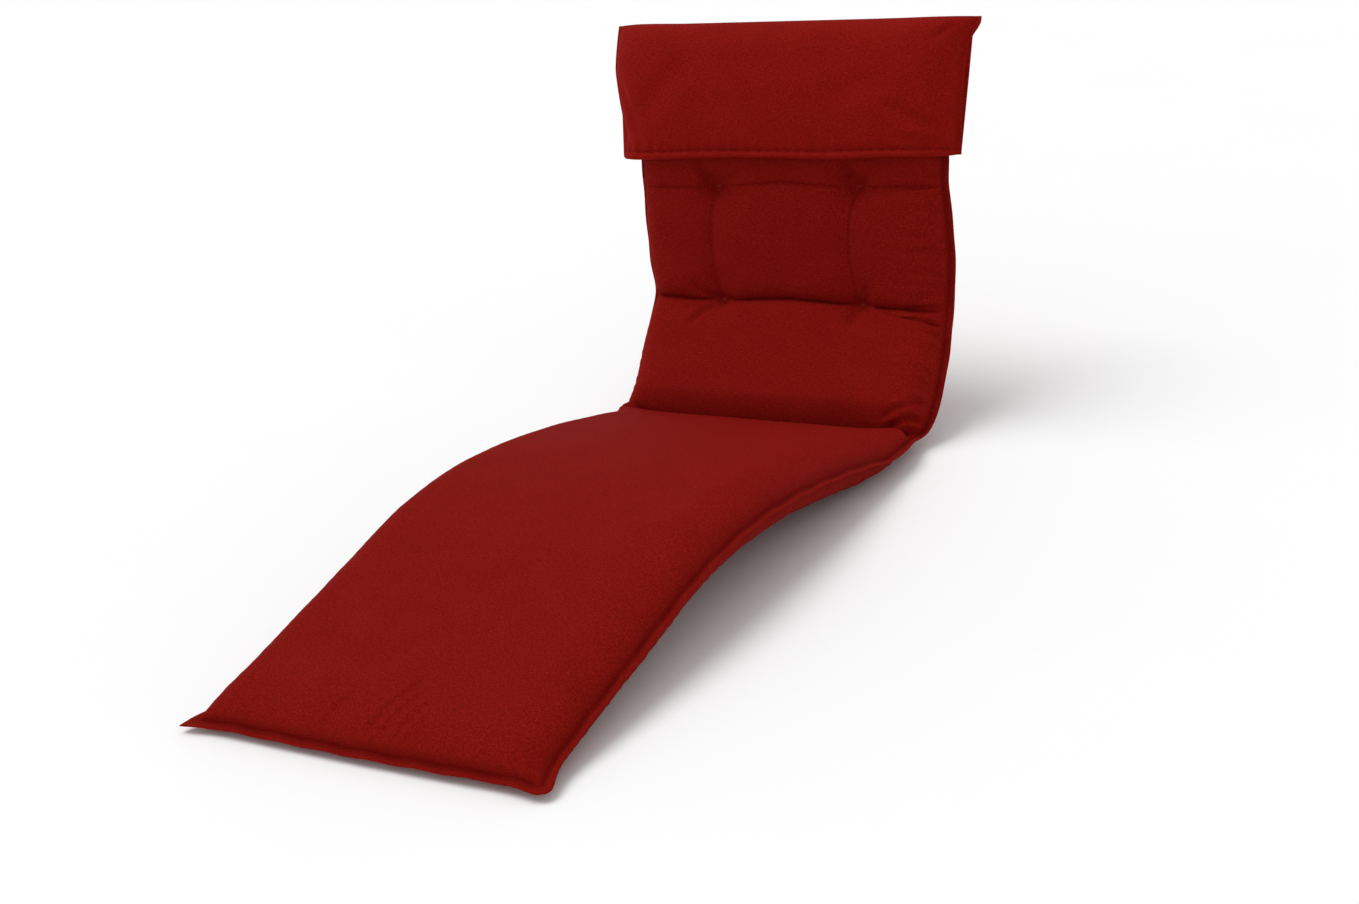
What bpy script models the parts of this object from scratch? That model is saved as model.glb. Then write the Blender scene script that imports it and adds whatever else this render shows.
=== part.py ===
"""Relax chair cushion: one filled pad bent as on a reclined chair, with a cloth hood at its head.

Metres, +Z up. X runs across the pad, -Y is the leg end and +Y the head end. The pad is drawn
along its side profile: arc is the length along that profile from the leg end, and height is the
distance from the profile, where the front and back panels are sewn together. The cushion rests
on two flat places, under the leg end and under the hip, and its origin is in the middle between
its outermost points, on the floor.
"""

import math
from collections import namedtuple

import bmesh
import bpy
import numpy as np

# The pad
PAD_WIDTH = 0.500
FLANGE_WIDTH = 0.012
FLANGE_THICKNESS = 0.003
SIDE_ROLL = 0.036
END_ROLL = 0.042
OVERHANG = 0.003
LEFT_EAR = 0.026
RIGHT_EAR = 0.016
EAR_FORWARD = 0.007
EAR_LENGTH = 0.030
FLOOR_SAG = 0.006

# Lengths along the profile
HIP = 0.950
LOWER_TUFTS = HIP + 0.215
UPPER_TUFTS = HIP + 0.389
HOOD_HEM = HIP + 0.432
PAD_TOP = HIP + 0.621

# The side profile: slope in degrees, the filling in front of and behind the seam, the share of the
# full width, and how far the middle lies to the right
Section = namedtuple("Section", "arc slope front back width drift")
SECTIONS = (
    Section(0.000, 25.5, 0.035, 0.022, 0.940, 0.001),
    Section(0.120, 26.0, 0.035, 0.030, 0.936, 0.002),
    Section(0.320, 26.0, 0.035, 0.034, 0.949, 0.001),
    Section(0.470, 13.0, 0.036, 0.034, 0.962, 0.000),
    Section(0.630, 3.5, 0.036, 0.034, 0.971, 0.000),
    Section(0.790, -1.0, 0.036, 0.032, 0.980, 0.000),
    Section(HIP - 0.055, -10.0, 0.038, 0.012, 0.992, -0.001),
    Section(HIP + 0.055, 63.5, 0.049, 0.012, 1.006, -0.004),
    Section(HIP + 0.110, 59.0, 0.043, 0.020, 1.020, -0.008),
    Section(HIP + 0.190, 70.5, 0.038, 0.022, 1.024, -0.013),
    Section(HIP + 0.320, 96.0, 0.037, 0.022, 1.032, -0.021),
    Section(HIP + 0.470, 94.0, 0.033, 0.022, 1.025, -0.025),
    Section(PAD_TOP, 73.0, 0.029, 0.022, 1.024, -0.029),
)
PROFILE_STEP = 0.001
PROFILE_SPARE = 0.040
BEND_SMOOTHING = 0.012

# Folded and sewn lines, each a soft valley with a slit in it: the share of the filling that the valley
# takes away at its left and right end and how far that is felt, the share that the slit takes away,
# how far the filling rolls into it from below and from above, how far it laps down over it, and how
# far the left and right edges are drawn in there, or bulge out where that is below 0
Line = namedtuple("Line", "arc left right reach slit below above lap left_draw right_draw")
CREASES = (
    Line(HIP, 0.00, 0.10, 0.020, 0.00, 0.038, 0.058, 0.000, -0.012, 0.010),
    Line(LOWER_TUFTS, 0.28, 0.28, 0.030, 0.50, 0.012, 0.030, 0.004, 0.010, 0.001),
    Line(UPPER_TUFTS, 0.24, 0.24, 0.030, 0.10, 0.008, 0.010, 0.000, 0.000, 0.003),
)
HIP_LINE, SLITS = CREASES[0], CREASES[1:]
SLIT_WIDTH = 0.002
DRAW_LENGTH = 0.040

# How far each line and both ends stray along the pad, at places across it
WANDER_X = (-0.250, -0.170, -0.113, 0.000, 0.113, 0.185, 0.250)
WANDER = {
    0.0: (-0.005, -0.005, -0.005, -0.004, -0.001, 0.002, 0.003),
    HIP: (0.000, 0.000, 0.000, 0.000, 0.002, 0.004, 0.008),
    LOWER_TUFTS: (0.006, 0.001, 0.000, 0.007, 0.000, -0.004, -0.006),
    UPPER_TUFTS: (0.001, 0.000, 0.000, 0.009, 0.000, 0.003, 0.004),
    PAD_TOP: (0.009, 0.006, 0.005, 0.003, 0.001, 0.000, 0.000),
}
WANDER_REACH = 0.036

# The fold at the hip, where the front panel's seat and back roll down into a corner: how far along
# the pad it reaches, how high over the corner its bottom lies, between which places across it fades
# out at its left end, how much fuller the pad is there, and how far both side seams cut the corner
HINGE_REACH = 0.060
HINGE_BOTTOM = 0.014
HINGE_END = (-0.248, -0.205)
HIP_PLUG = 0.30
HIP_PLUG_WIDTH = 0.035
HIP_LEFT_LIFT = 0.021
HIP_RIGHT_LIFT = 0.021
HIP_LIFT_AT = HIP - 0.038
HIP_LIFT_LENGTH = 0.044
HIP_LIFT_WIDTH = 0.045

# The tufts and the channels sewn between them
TUFT_X = 0.113
TUFT_DEPTH = 0.70
TUFT_REACH = 0.014
TUFT_OPENING = 0.014
BACK_TUFT_DEPTH = 0.45
CHANNEL_DEPTH = 0.15
CHANNEL_REACH = 0.012
LEFT_CHANNEL_BOW = 0.007
RIGHT_CHANNEL_BOW = 0.012
STITCH_HALF = 0.006

# The thread tacks in the tufts
TACK_LENGTH = 0.009
TACK_WIDTH = 0.003
SEAT_GAP = 0.0003

# The hood
HOOD_TOP_WIDTH = 0.573
HOOD_HEM_WIDTH = 0.548
HOOD_SHIFT = -0.0065
HOOD_SEAM = 0.008
HOOD_WALL = 0.0025
HEM_HEIGHT = 0.013
HEM_EXTRA = 0.0010
HOOD_TOP_GAP = HOOD_WALL + SEAT_GAP
HOOD_FRONT = 0.040
HOOD_BACK_TOP = 0.036
HOOD_ROLL = 0.078
HOOD_SPREAD = 0.8
HOOD_TOP_ROLL = 0.050

# How finely the solids are divided
ROLL_ANGLES = (15, 34, 54, 72, 90)
SLIT_ROWS = (0.25, 0.6, 1.0)
VALLEY_ROW = 0.030
ROW_SPACING = 0.040
TUFT_COLUMNS = (STITCH_HALF, 0.022)
HOOD_ROW_SPACING = 0.035
HOOD_COLUMN = 0.085
HEM_STEP = 0.001
WELD = 0.00001
TACK_SIDES = 10
TACK_RINGS = 6

RED_CLOTH = (0.200, 0.006, 0.004, 1.0)
PALE_THREAD = (0.420, 0.090, 0.070, 1.0)

Station = namedtuple("Station", "at rim crown")


def side_profile():
    """Arc, slope, y and z along the pad, levelled so that the leg end and the hip are as low."""
    arc = np.arange(-PROFILE_SPARE, PAD_TOP + PROFILE_SPARE, PROFILE_STEP)
    slope = np.interp(arc, [s.arc for s in SECTIONS], [s.slope for s in SECTIONS])
    reach = int(3 * BEND_SMOOTHING / PROFILE_STEP)
    weights = np.exp(-0.5 * (np.arange(-reach, reach + 1) * PROFILE_STEP / BEND_SMOOTHING) ** 2)
    slope = np.convolve(np.pad(slope, reach, mode="edge"), weights / weights.sum(), mode="valid")
    slope = np.radians(slope)
    filling = np.interp(arc, [s.arc for s in SECTIONS], [s.back for s in SECTIONS])
    filling = filling * np.sqrt(1 - np.clip(1 - (arc - FLANGE_WIDTH) / END_ROLL, 0, 1) ** 2)
    for _ in range(4):
        y = np.cumsum(np.cos(slope)) * PROFILE_STEP
        z = np.cumsum(np.sin(slope)) * PROFILE_STEP
        low_y = y + filling * np.sin(slope)
        low_z = z - filling * np.cos(slope)
        leg = np.argmin(np.where((arc > FLANGE_WIDTH) & (arc < HIP / 2), low_z, np.inf))
        hip = np.argmin(np.where(arc > HIP / 2, low_z, np.inf))
        slope = slope - math.atan2(low_z[hip] - low_z[leg], low_y[hip] - low_y[leg])
    return arc, slope, y - y[hip], z - low_z[hip] - FLOOR_SAG


ARC, SLOPE, PROFILE_Y, PROFILE_Z = side_profile()


def profile_point(arc, height):
    """The y and z of a place on the side profile, this far in front of the seam."""
    slope = np.interp(arc, ARC, SLOPE)
    y = np.interp(arc, ARC, PROFILE_Y) - height * math.sin(slope)
    z = np.interp(arc, ARC, PROFILE_Z) + height * math.cos(slope)
    return np.array([y, z])


def place(arc, x, height):
    """The point at this arc, this far across, and this far in front of the seam, on or over the floor."""
    x = x * section_value(arc, "width") + section_value(arc, "drift")
    y, z = profile_point(arc, height)
    return x, y, max(z, 0.0)


def section_value(arc, column):
    return np.interp(arc, [s.arc for s in SECTIONS], [getattr(s, column) for s in SECTIONS])


def kept(distance, depth, reach):
    """The share of the filling that is left this far from a folded or sewn line."""
    return 1 - depth * math.exp(-max(distance - STITCH_HALF, 0) / reach)


def near(distance, length):
    """1 at a place, falling away from it."""
    return math.exp(-((distance / length) ** 2))


def channel_distance(arc, x):
    """How far a point is from the nearer of the two sewn channels between the tufts."""
    along = np.clip((arc - LOWER_TUFTS) / (UPPER_TUFTS - LOWER_TUFTS), 0, 1)
    middle, bow = (-TUFT_X, LEFT_CHANNEL_BOW) if x < 0 else (TUFT_X, RIGHT_CHANNEL_BOW)
    channel_x = middle - bow * math.sin(math.pi * along)
    channel_arc = LOWER_TUFTS + along * (UPPER_TUFTS - LOWER_TUFTS)
    return math.hypot(x - channel_x, arc - channel_arc)


def tuft_distance(arc, x):
    row = min(abs(arc - LOWER_TUFTS), abs(arc - UPPER_TUFTS))
    return math.hypot(row, abs(x) - TUFT_X)


def turned(line, arc):
    """How far the filling has rolled up beside a slit: nothing at its bottom, a quarter turn where full."""
    reach = line.below if arc < line.arc else line.above
    return min(abs(arc - line.arc) / reach, 1) * math.pi / 2


def front_filling(arc, x):
    share = kept(channel_distance(arc, x), CHANNEL_DEPTH, CHANNEL_REACH)
    closed = 1 - near(tuft_distance(arc, x), TUFT_OPENING)
    for line in CREASES:
        valley = line.left + (line.right - line.left) * (0.5 + x / PAD_WIDTH)
        share *= 1 - valley * math.exp(-abs(arc - line.arc) / line.reach)
        share *= 1 - line.slit * (1 - math.sin(turned(line, arc))) * closed
    return section_value(arc, "front") * share * kept(tuft_distance(arc, x), TUFT_DEPTH, TUFT_REACH)


def back_filling(arc, x):
    return section_value(arc, "back") * kept(tuft_distance(arc, x), BACK_TUFT_DEPTH, TUFT_REACH)


def lapped(arc, x):
    """The arc where this place of the front lies, once it rolls into the slits and laps over them."""
    closed = 1 - near(tuft_distance(arc, x), TUFT_OPENING)
    moved = arc
    for line in SLITS:
        turn = turned(line, arc)
        if turn < math.pi / 2:
            reach, parted = (-line.below, SLIT_WIDTH) if arc < line.arc else (line.above, 0)
            rolled = reach * (1 - math.cos(turn)) - line.lap * math.sin(2 * turn) - parted * math.cos(turn)
            moved += (line.arc + rolled - arc) * closed
    return moved


def hinge():
    """The corner where seat and back would meet if the pad were bent sharply, and their two slopes."""
    low_y, low_z = profile_point(HIP - HINGE_REACH, 0)
    high_y, high_z = profile_point(HIP + HINGE_REACH, 0)
    low, high = np.interp([HIP - HINGE_REACH, HIP + HINGE_REACH], ARC, SLOPE)
    run = ((high_y - low_y) * math.sin(high) - (high_z - low_z) * math.cos(high)) / math.sin(high - low)
    return np.array([low_y + run * math.cos(low), low_z + run * math.sin(low)]), low, high


def hip_point(arc, filling):
    """The y and z of a place on the front panel near the hip, where it rolls down into the fold."""
    corner, low, high = hinge()
    slope, end = (low, HIP - HINGE_REACH) if arc < HIP else (high, HIP + HINGE_REACH)
    roll = HIP_LINE.below if arc < HIP else HIP_LINE.above
    stretch = np.hypot(*(profile_point(end, 0) - corner)) / HINGE_REACH
    lean = math.tan((high - low) / 2)
    height, out = filling, abs(arc - HIP) * stretch
    if abs(arc - HIP) < roll:
        turn = abs(arc - HIP) / roll * math.pi / 2
        height = HINGE_BOTTOM + (filling - HINGE_BOTTOM) * math.sin(turn)
        width = roll * stretch - filling * lean - SLIT_WIDTH / 2
        out = height * lean + SLIT_WIDTH / 2 + width * (1 - math.cos(turn))
    out = math.copysign(out, arc - HIP)
    y = corner[0] + out * math.cos(slope) - height * math.sin(slope)
    z = corner[1] + out * math.sin(slope) + height * math.cos(slope)
    return np.array([y, z])


def strayed(arc, x):
    """The arc where this place of the cloth lies, once the lines and the ends have strayed."""
    for line_arc, wander in WANDER.items():
        arc += np.interp(x, WANDER_X, wander) * near(arc - line_arc, WANDER_REACH)
    return arc


def rolled_edge(flange, roll):
    """Stations from an edge inwards: the flange's rim and faces, then the filling rolling up from it."""
    stations = []
    if flange:
        stations += [Station(0, 0, 0), Station(FLANGE_THICKNESS / 2, 1, 0), Station(flange, 1, 0)]
    else:
        stations += [Station(0, 0, 0)]
    for angle in ROLL_ANGLES:
        turn = math.radians(angle)
        stations.append(Station(flange + roll * (1 - math.cos(turn)), 1, math.sin(turn)))
    return stations


def across(half_width, edge, inner):
    """Stations from the left edge to the right one, with the inner ones mirrored from the right half."""
    right = [Station(half_width - s.at, s.rim, s.crown) for s in edge]
    right += [Station(x, 1, 1) for x in sorted(inner, reverse=True)]
    left = [Station(-s.at, s.rim, s.crown) for s in right]
    return left + [Station(0, 1, 1)] + right[::-1]


def between(low, high, spacing):
    """Even places between two others, leaving both out."""
    count = max(math.ceil((high - low) / spacing - 1e-6), 1)
    return [low + (high - low) * i / count for i in range(1, count)]


def line_rows(line):
    """The rows round a line: down into its slit and up again, and one in the valley where that is wider."""
    rows = [line.arc - line.below * share for share in reversed(SLIT_ROWS)]
    rows += [line.arc] + [line.arc + line.above * share for share in SLIT_ROWS]
    if line.below < VALLEY_ROW / 2:
        rows.insert(0, line.arc - VALLEY_ROW)
    if line.above < VALLEY_ROW / 2:
        rows.append(line.arc + VALLEY_ROW)
    return rows


def along():
    """Stations from the leg end to the head, closer together round each fold and tuft row."""
    edge = rolled_edge(FLANGE_WIDTH, END_ROLL)
    marks = [edge[-1].at]
    for line in CREASES:
        marks += line_rows(line)
    marks += [PAD_TOP - edge[-1].at]
    places = []
    for low, high in zip(marks, marks[1:]):
        places += between(low, high, ROW_SPACING) + [high]
    stations = edge + [Station(arc, 1, 1) for arc in places[:-1]]
    return stations + [Station(PAD_TOP - s.at, s.rim, s.crown) for s in reversed(edge)]


def grid(mesh, columns, rows, point):
    """Adds a grid primitive and moves its points to where point says for each column and row."""
    made = bmesh.ops.create_grid(mesh, x_segments=len(columns) - 1, y_segments=len(rows) - 1, size=1)
    for vertex in made["verts"]:
        column = columns[round((vertex.co.x + 1) / 2 * (len(columns) - 1))]
        row = rows[round((vertex.co.y + 1) / 2 * (len(rows) - 1))]
        vertex.co = point(column, row)


def finished(mesh, name, collection, material):
    """Makes the bmesh an object of the collection, facing out and shaded smooth."""
    bmesh.ops.recalc_face_normals(mesh, faces=mesh.faces)
    if mesh.calc_volume(signed=True) < 0:
        bmesh.ops.reverse_faces(mesh, faces=mesh.faces)
    data = bpy.data.meshes.new(name)
    mesh.to_mesh(data)
    mesh.free()
    data.shade_smooth()
    data.materials.append(material)
    made = bpy.data.objects.new(name, data)
    collection.objects.link(made)
    return made


def cloth(name, colour, roughness):
    material = bpy.data.materials.new(name)
    material.use_nodes = True
    shader = material.node_tree.nodes["Principled BSDF"]
    shader.inputs["Base Color"].default_value = colour
    shader.inputs["Roughness"].default_value = roughness
    shader.inputs["Metallic"].default_value = 0.0
    material.diffuse_color = colour
    return material


def edge_shift(arc, x):
    """How far the cloth at this place lies outwards of the straight edge: ears at the leg end's corners
    stand out, and the ends of the sewn lines are drawn in."""
    if x < 0:
        out, draws = LEFT_EAR, [line.left_draw for line in CREASES]
    else:
        out, draws = RIGHT_EAR, [line.right_draw for line in CREASES]
    drawn = sum(draw * near(arc - line.arc, DRAW_LENGTH) for draw, line in zip(draws, CREASES))
    return out * near(arc, EAR_LENGTH) - drawn


def overhung(crown, other):
    """How far the roll bulges out over the flange, where it has risen this far, and not in the corners."""
    return OVERHANG * 2 * crown * math.sqrt(1 - min(crown, 1) ** 2) * other


def pad_point(column, row, side):
    """A point of the front panel where side is 1, or of the back panel where it is -1."""
    half = PAD_WIDTH / 2
    x = column.at * (1 + edge_shift(row.at, column.at) / half * (column.at / half) ** 2)
    x += math.copysign(overhung(column.crown, row.crown), x)
    filling = front_filling(row.at, column.at) if side > 0 else back_filling(row.at, column.at)
    filling *= 1 + HIP_PLUG * near(column.at + half, HIP_PLUG_WIDTH) * near(row.at - HIP, HIP_PLUG_WIDTH)
    arc, crown = row.at, column.crown * row.crown
    if side > 0:
        arc += (lapped(row.at, column.at) - row.at) * crown
    arc += math.copysign(overhung(row.crown, column.crown), arc - PAD_TOP / 2)
    ear = near(half - abs(column.at), EAR_LENGTH) * near(row.at, EAR_LENGTH)
    arc = strayed(arc, column.at) - EAR_FORWARD * ear
    rim = FLANGE_THICKNESS / 2
    height = side * (rim * min(column.rim, row.rim) + (filling - rim) * crown)
    lift = HIP_LEFT_LIFT if column.at < 0 else HIP_RIGHT_LIFT
    lift *= near(half - abs(column.at), HIP_LIFT_WIDTH) * near(row.at - HIP_LIFT_AT, HIP_LIFT_LENGTH)
    spot_x, spot_y, spot_z = place(arc, x, height + lift)
    if side > 0 and abs(arc - HIP) < HINGE_REACH:
        share = crown * np.clip((x - HINGE_END[0]) / (HINGE_END[1] - HINGE_END[0]), 0, 1)
        moved = (hip_point(arc, filling) - profile_point(arc, filling)) * share
        spot_y, spot_z = spot_y + moved[0], spot_z + moved[1]
    return spot_x, spot_y, spot_z


def make_pad(collection):
    edge = rolled_edge(FLANGE_WIDTH, SIDE_ROLL)
    inner = [TUFT_X] + [TUFT_X + step for step in TUFT_COLUMNS] + [TUFT_X - step for step in TUFT_COLUMNS]
    inner += [min(inner) / 2, (max(inner) + PAD_WIDTH / 2 - edge[-1].at) / 2]
    columns = across(PAD_WIDTH / 2, edge, inner)
    rows = along()
    mesh = bmesh.new()
    for side in (1, -1):
        grid(mesh, columns, rows, lambda column, row: pad_point(column, row, side))
    bmesh.ops.remove_doubles(mesh, verts=mesh.verts, dist=WELD)
    return finished(mesh, "pad", collection, cloth("red_cloth", RED_CLOTH, 0.9))


def hood_half_width(arc):
    return np.interp(arc, [HOOD_HEM, PAD_TOP], [HOOD_HEM_WIDTH / 2, HOOD_TOP_WIDTH / 2])


def plumb_depth(arc):
    """How far behind the seam the hood's back panel lies, hanging straight down from the pad's top."""
    slope, top_slope = np.interp([arc, PAD_TOP], ARC, SLOPE)
    y, top_y = np.interp([arc, PAD_TOP], ARC, PROFILE_Y)
    return max((top_y + HOOD_BACK_TOP * math.sin(top_slope) - y) / math.sin(slope), HOOD_BACK_TOP)


def hood_point(column, row, side, wall):
    """A point of the hood's outer face where wall is 0, or of its inner face, one wall further in."""
    half = HOOD_TOP_WIDTH / 2
    share, crown, depth = abs(column.at) / half, column.crown, HOOD_FRONT
    if side < 0:
        down = np.clip((PAD_TOP - row.at) / (PAD_TOP - HOOD_HEM), 0, 1)
        share, crown, depth = share ** (1 + HOOD_SPREAD * down), crown ** (1 + down), plumb_depth(row.at)
    in_hem = row.at < HOOD_HEM + HEM_HEIGHT and not wall
    rim = FLANGE_THICKNESS / 2
    height = (depth - wall - rim) * crown * row.crown + rim * min(column.rim, row.rim)
    x = HOOD_SHIFT + math.copysign(share * hood_half_width(row.at), column.at)
    return place(strayed(row.at, x), x, side * (height + (HEM_EXTRA if in_hem and column.crown else 0)))


def hood_bag(mesh, wall):
    """The front and back panels of the hood's outer or inner face, sewn at the sides and the top."""
    seam = HOOD_SEAM + wall if wall else HOOD_SEAM
    if wall:
        edge = [Station(seam, 0, 0)] + rolled_edge(seam, HOOD_ROLL)[3:]
    else:
        edge = rolled_edge(seam, HOOD_ROLL)
    columns = across(HOOD_TOP_WIDTH / 2, edge, [HOOD_COLUMN])
    top = PAD_TOP + HOOD_TOP_GAP - wall
    over = rolled_edge(0, HOOD_TOP_ROLL)
    hem_top = HOOD_HEM + HEM_HEIGHT
    places = [HOOD_HEM, hem_top - HEM_STEP, hem_top] + between(hem_top, top - over[-1].at, HOOD_ROW_SPACING)
    rows = [Station(arc, 1, 1) for arc in places]
    rows += [Station(top - s.at, s.rim, s.crown) for s in reversed(over)]
    for side in (1, -1):
        grid(mesh, columns, rows, lambda column, row: hood_point(column, row, side, wall))


def make_hood(collection):
    mesh = bmesh.new()
    hood_bag(mesh, 0)
    hood_bag(mesh, HOOD_WALL)
    bmesh.ops.remove_doubles(mesh, verts=mesh.verts, dist=WELD)
    mouth = [e for e in mesh.edges if e.is_boundary]
    bmesh.ops.bridge_loops(mesh, edges=mouth)
    bmesh.ops.triangulate(mesh, faces=mesh.faces)
    return finished(mesh, "hood", collection, cloth("red_hood_cloth", RED_CLOTH, 0.9))


def make_tacks(collection):
    thread = cloth("pale_thread", PALE_THREAD, 0.7)
    number = 0
    for row in (LOWER_TUFTS, UPPER_TUFTS):
        for x in (-TUFT_X, TUFT_X):
            number += 1
            for name, filling, side in (("tack_front", front_filling, 1), ("tack_back", back_filling, -1)):
                height = side * (filling(row, x) + SEAT_GAP + TACK_WIDTH / 2)
                mesh = bmesh.new()
                bmesh.ops.create_uvsphere(
                    mesh, u_segments=TACK_SIDES, v_segments=TACK_RINGS, radius=TACK_WIDTH / 2
                )
                bmesh.ops.scale(mesh, vec=(TACK_LENGTH / TACK_WIDTH, 1, 1), verts=mesh.verts)
                bmesh.ops.translate(mesh, vec=place(row, x, height), verts=mesh.verts)
                finished(mesh, f"{name}_{number}", collection, thread)


def stand_on_origin(objects):
    """Moves everything so that the middle between the outermost points is over the origin."""
    points = np.array([v.co for made in objects for v in made.data.vertices])
    middle = (points.min(axis=0) + points.max(axis=0)) / 2
    for made in objects:
        for vertex in made.data.vertices:
            vertex.co.x -= middle[0]
            vertex.co.y -= middle[1]


def main():
    for old in list(bpy.data.objects):
        bpy.data.objects.remove(old)
    cushion = bpy.data.collections.new("relax_chair_cushion")
    bpy.context.scene.collection.children.link(cushion)
    make_pad(cushion)
    make_hood(cushion)
    make_tacks(cushion)
    stand_on_origin(cushion.objects)


main()
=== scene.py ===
"""Relax chair cushion: the looks of the filled pad, its hood, its tufts, its topstitching and the stage.

Metres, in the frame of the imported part. The pad is drawn along its side profile: arc is the length
along that profile from the leg end, and height is the distance from the profile, where the front
and back panels are sewn together. Each point of cloth keeps its place in the flat cloth, which the
creases, the small wrinkles and the weave are worked out from.
"""

import math
from collections import namedtuple

import bmesh
import bpy
import numpy as np
from bpy.props import FloatProperty, FloatVectorProperty, PointerProperty
from mathutils import Matrix, Vector
from mathutils.bvhtree import BVHTree


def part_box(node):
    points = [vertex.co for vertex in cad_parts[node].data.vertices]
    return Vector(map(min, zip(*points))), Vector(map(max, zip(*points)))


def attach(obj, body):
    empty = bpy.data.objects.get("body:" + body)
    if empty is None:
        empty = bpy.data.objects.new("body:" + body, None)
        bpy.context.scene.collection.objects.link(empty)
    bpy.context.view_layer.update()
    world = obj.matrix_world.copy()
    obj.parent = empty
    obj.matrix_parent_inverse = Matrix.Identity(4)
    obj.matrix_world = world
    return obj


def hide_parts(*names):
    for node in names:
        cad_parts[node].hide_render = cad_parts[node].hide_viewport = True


bl_info = {
    "name": "Relax chair cushion",
    "version": (1, 0, 0),
    "blender": (4, 5, 0),
    "location": "View3D > Sidebar > Cushion",
    "description": "Dresses a long tufted chair cushion with a hood in red woven cloth",
    "category": "Object",
}

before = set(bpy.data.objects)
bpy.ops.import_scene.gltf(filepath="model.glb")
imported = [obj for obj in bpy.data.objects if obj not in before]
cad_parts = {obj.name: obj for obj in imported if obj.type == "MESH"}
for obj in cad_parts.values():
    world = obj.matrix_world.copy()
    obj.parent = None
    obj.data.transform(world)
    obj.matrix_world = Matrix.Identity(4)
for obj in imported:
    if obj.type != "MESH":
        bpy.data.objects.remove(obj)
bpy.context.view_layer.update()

# The pad: its sewn flange, how far in from each seam the filling has rolled up to its full height,
# and how far that roll bulges out over the flange. The solid's end roll levels the profile, and the
# cloth's own is softer. The front also rolls more softly at the right seam, below the hip.
PAD_WIDTH = 0.500
FLANGE_WIDTH = 0.012
FLANGE_THICKNESS = 0.003
FLANGE_WAVE = 0.0009
FLANGE_WAVE_TURN = 92
FLANGE_CURL = 0.0025
SIDE_ROLL = 0.036
SOFT_RIGHT_ROLL = 0.064
RIGHT_ROLL_END = 0.060
END_ROLL = 0.042
SOFT_END_ROLL = 0.050
SIDE_OVERHANG = 0.003
END_OVERHANG = 0.005

# The ears at the leg end's corners: how far they stand out, and how round the right one's tip is
LEFT_EAR = 0.026
RIGHT_EAR = 0.016
EAR_FORWARD = 0.007
EAR_ROUND = 0.007
EAR_ROUND_LENGTH = 0.012
EAR_LENGTH = 0.030

# Lengths along the profile
HIP = 0.950
LOWER_TUFTS = HIP + 0.215
UPPER_TUFTS = HIP + 0.389
HOOD_HEM = HIP + 0.432
PAD_TOP = HIP + 0.621

# The side profile: slope in degrees, the filling in front of and behind the seam, the share of the
# full width, and how far the middle lies to the right
Section = namedtuple("Section", "arc slope front back width drift")
SECTIONS = (
    Section(0.000, 25.5, 0.035, 0.022, 0.940, 0.001),
    Section(0.120, 26.0, 0.035, 0.030, 0.936, 0.002),
    Section(0.320, 26.0, 0.035, 0.034, 0.949, 0.001),
    Section(0.470, 13.0, 0.036, 0.034, 0.962, 0.000),
    Section(0.630, 3.5, 0.036, 0.034, 0.971, 0.000),
    Section(0.790, -1.0, 0.036, 0.032, 0.980, 0.000),
    Section(HIP - 0.055, -10.0, 0.038, 0.012, 0.992, -0.001),
    Section(HIP + 0.055, 63.5, 0.049, 0.012, 1.006, -0.004),
    Section(HIP + 0.110, 59.0, 0.043, 0.020, 1.020, -0.008),
    Section(HIP + 0.190, 70.5, 0.038, 0.022, 1.024, -0.013),
    Section(HIP + 0.320, 96.0, 0.037, 0.022, 1.032, -0.021),
    Section(HIP + 0.470, 94.0, 0.033, 0.022, 1.025, -0.025),
    Section(PAD_TOP, 73.0, 0.029, 0.022, 1.024, -0.029),
)
PROFILE_STEP = 0.001
PROFILE_SPARE = 0.040
BEND_SMOOTHING = 0.012
LEVELLING_ROUNDS = 4
FLOOR_SAG = 0.006

# Folded and sewn lines, each a soft valley with a slit in it: the share of the filling that the valley
# takes away at its left and right end and how far that is felt, the share that the slit takes away,
# how far the filling rolls into it from below and from above, how far it laps down over it, and how
# far the left and right edges are drawn in there, or bulge out where that is below 0
Line = namedtuple("Line", "arc left right reach slit below above lap left_draw right_draw")
CREASES = (
    Line(HIP, 0.00, 0.10, 0.020, 0.00, 0.038, 0.058, 0.000, -0.012, 0.010),
    Line(LOWER_TUFTS, 0.28, 0.28, 0.030, 0.50, 0.012, 0.030, 0.004, 0.010, 0.001),
    Line(UPPER_TUFTS, 0.24, 0.24, 0.030, 0.10, 0.008, 0.010, 0.000, 0.000, 0.003),
)
HIP_LINE, SLITS = CREASES[0], CREASES[1:]
SLIT_WIDTH = 0.002
DRAW_LENGTH = 0.040

# How far each line and both ends stray along the pad, at places across it
WANDER_X = (-0.250, -0.170, -0.113, 0.000, 0.113, 0.185, 0.250)
WANDER = {
    0.0: (-0.005, -0.005, -0.005, -0.004, -0.001, 0.002, 0.003),
    HIP: (0.000, 0.000, 0.000, 0.000, 0.002, 0.004, 0.008),
    LOWER_TUFTS: (0.006, 0.001, 0.000, 0.007, 0.000, -0.004, -0.006),
    UPPER_TUFTS: (0.001, 0.000, 0.000, 0.009, 0.000, 0.003, 0.004),
    PAD_TOP: (0.009, 0.006, 0.005, 0.003, 0.001, 0.000, 0.000),
}
WANDER_REACH = 0.036

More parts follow.
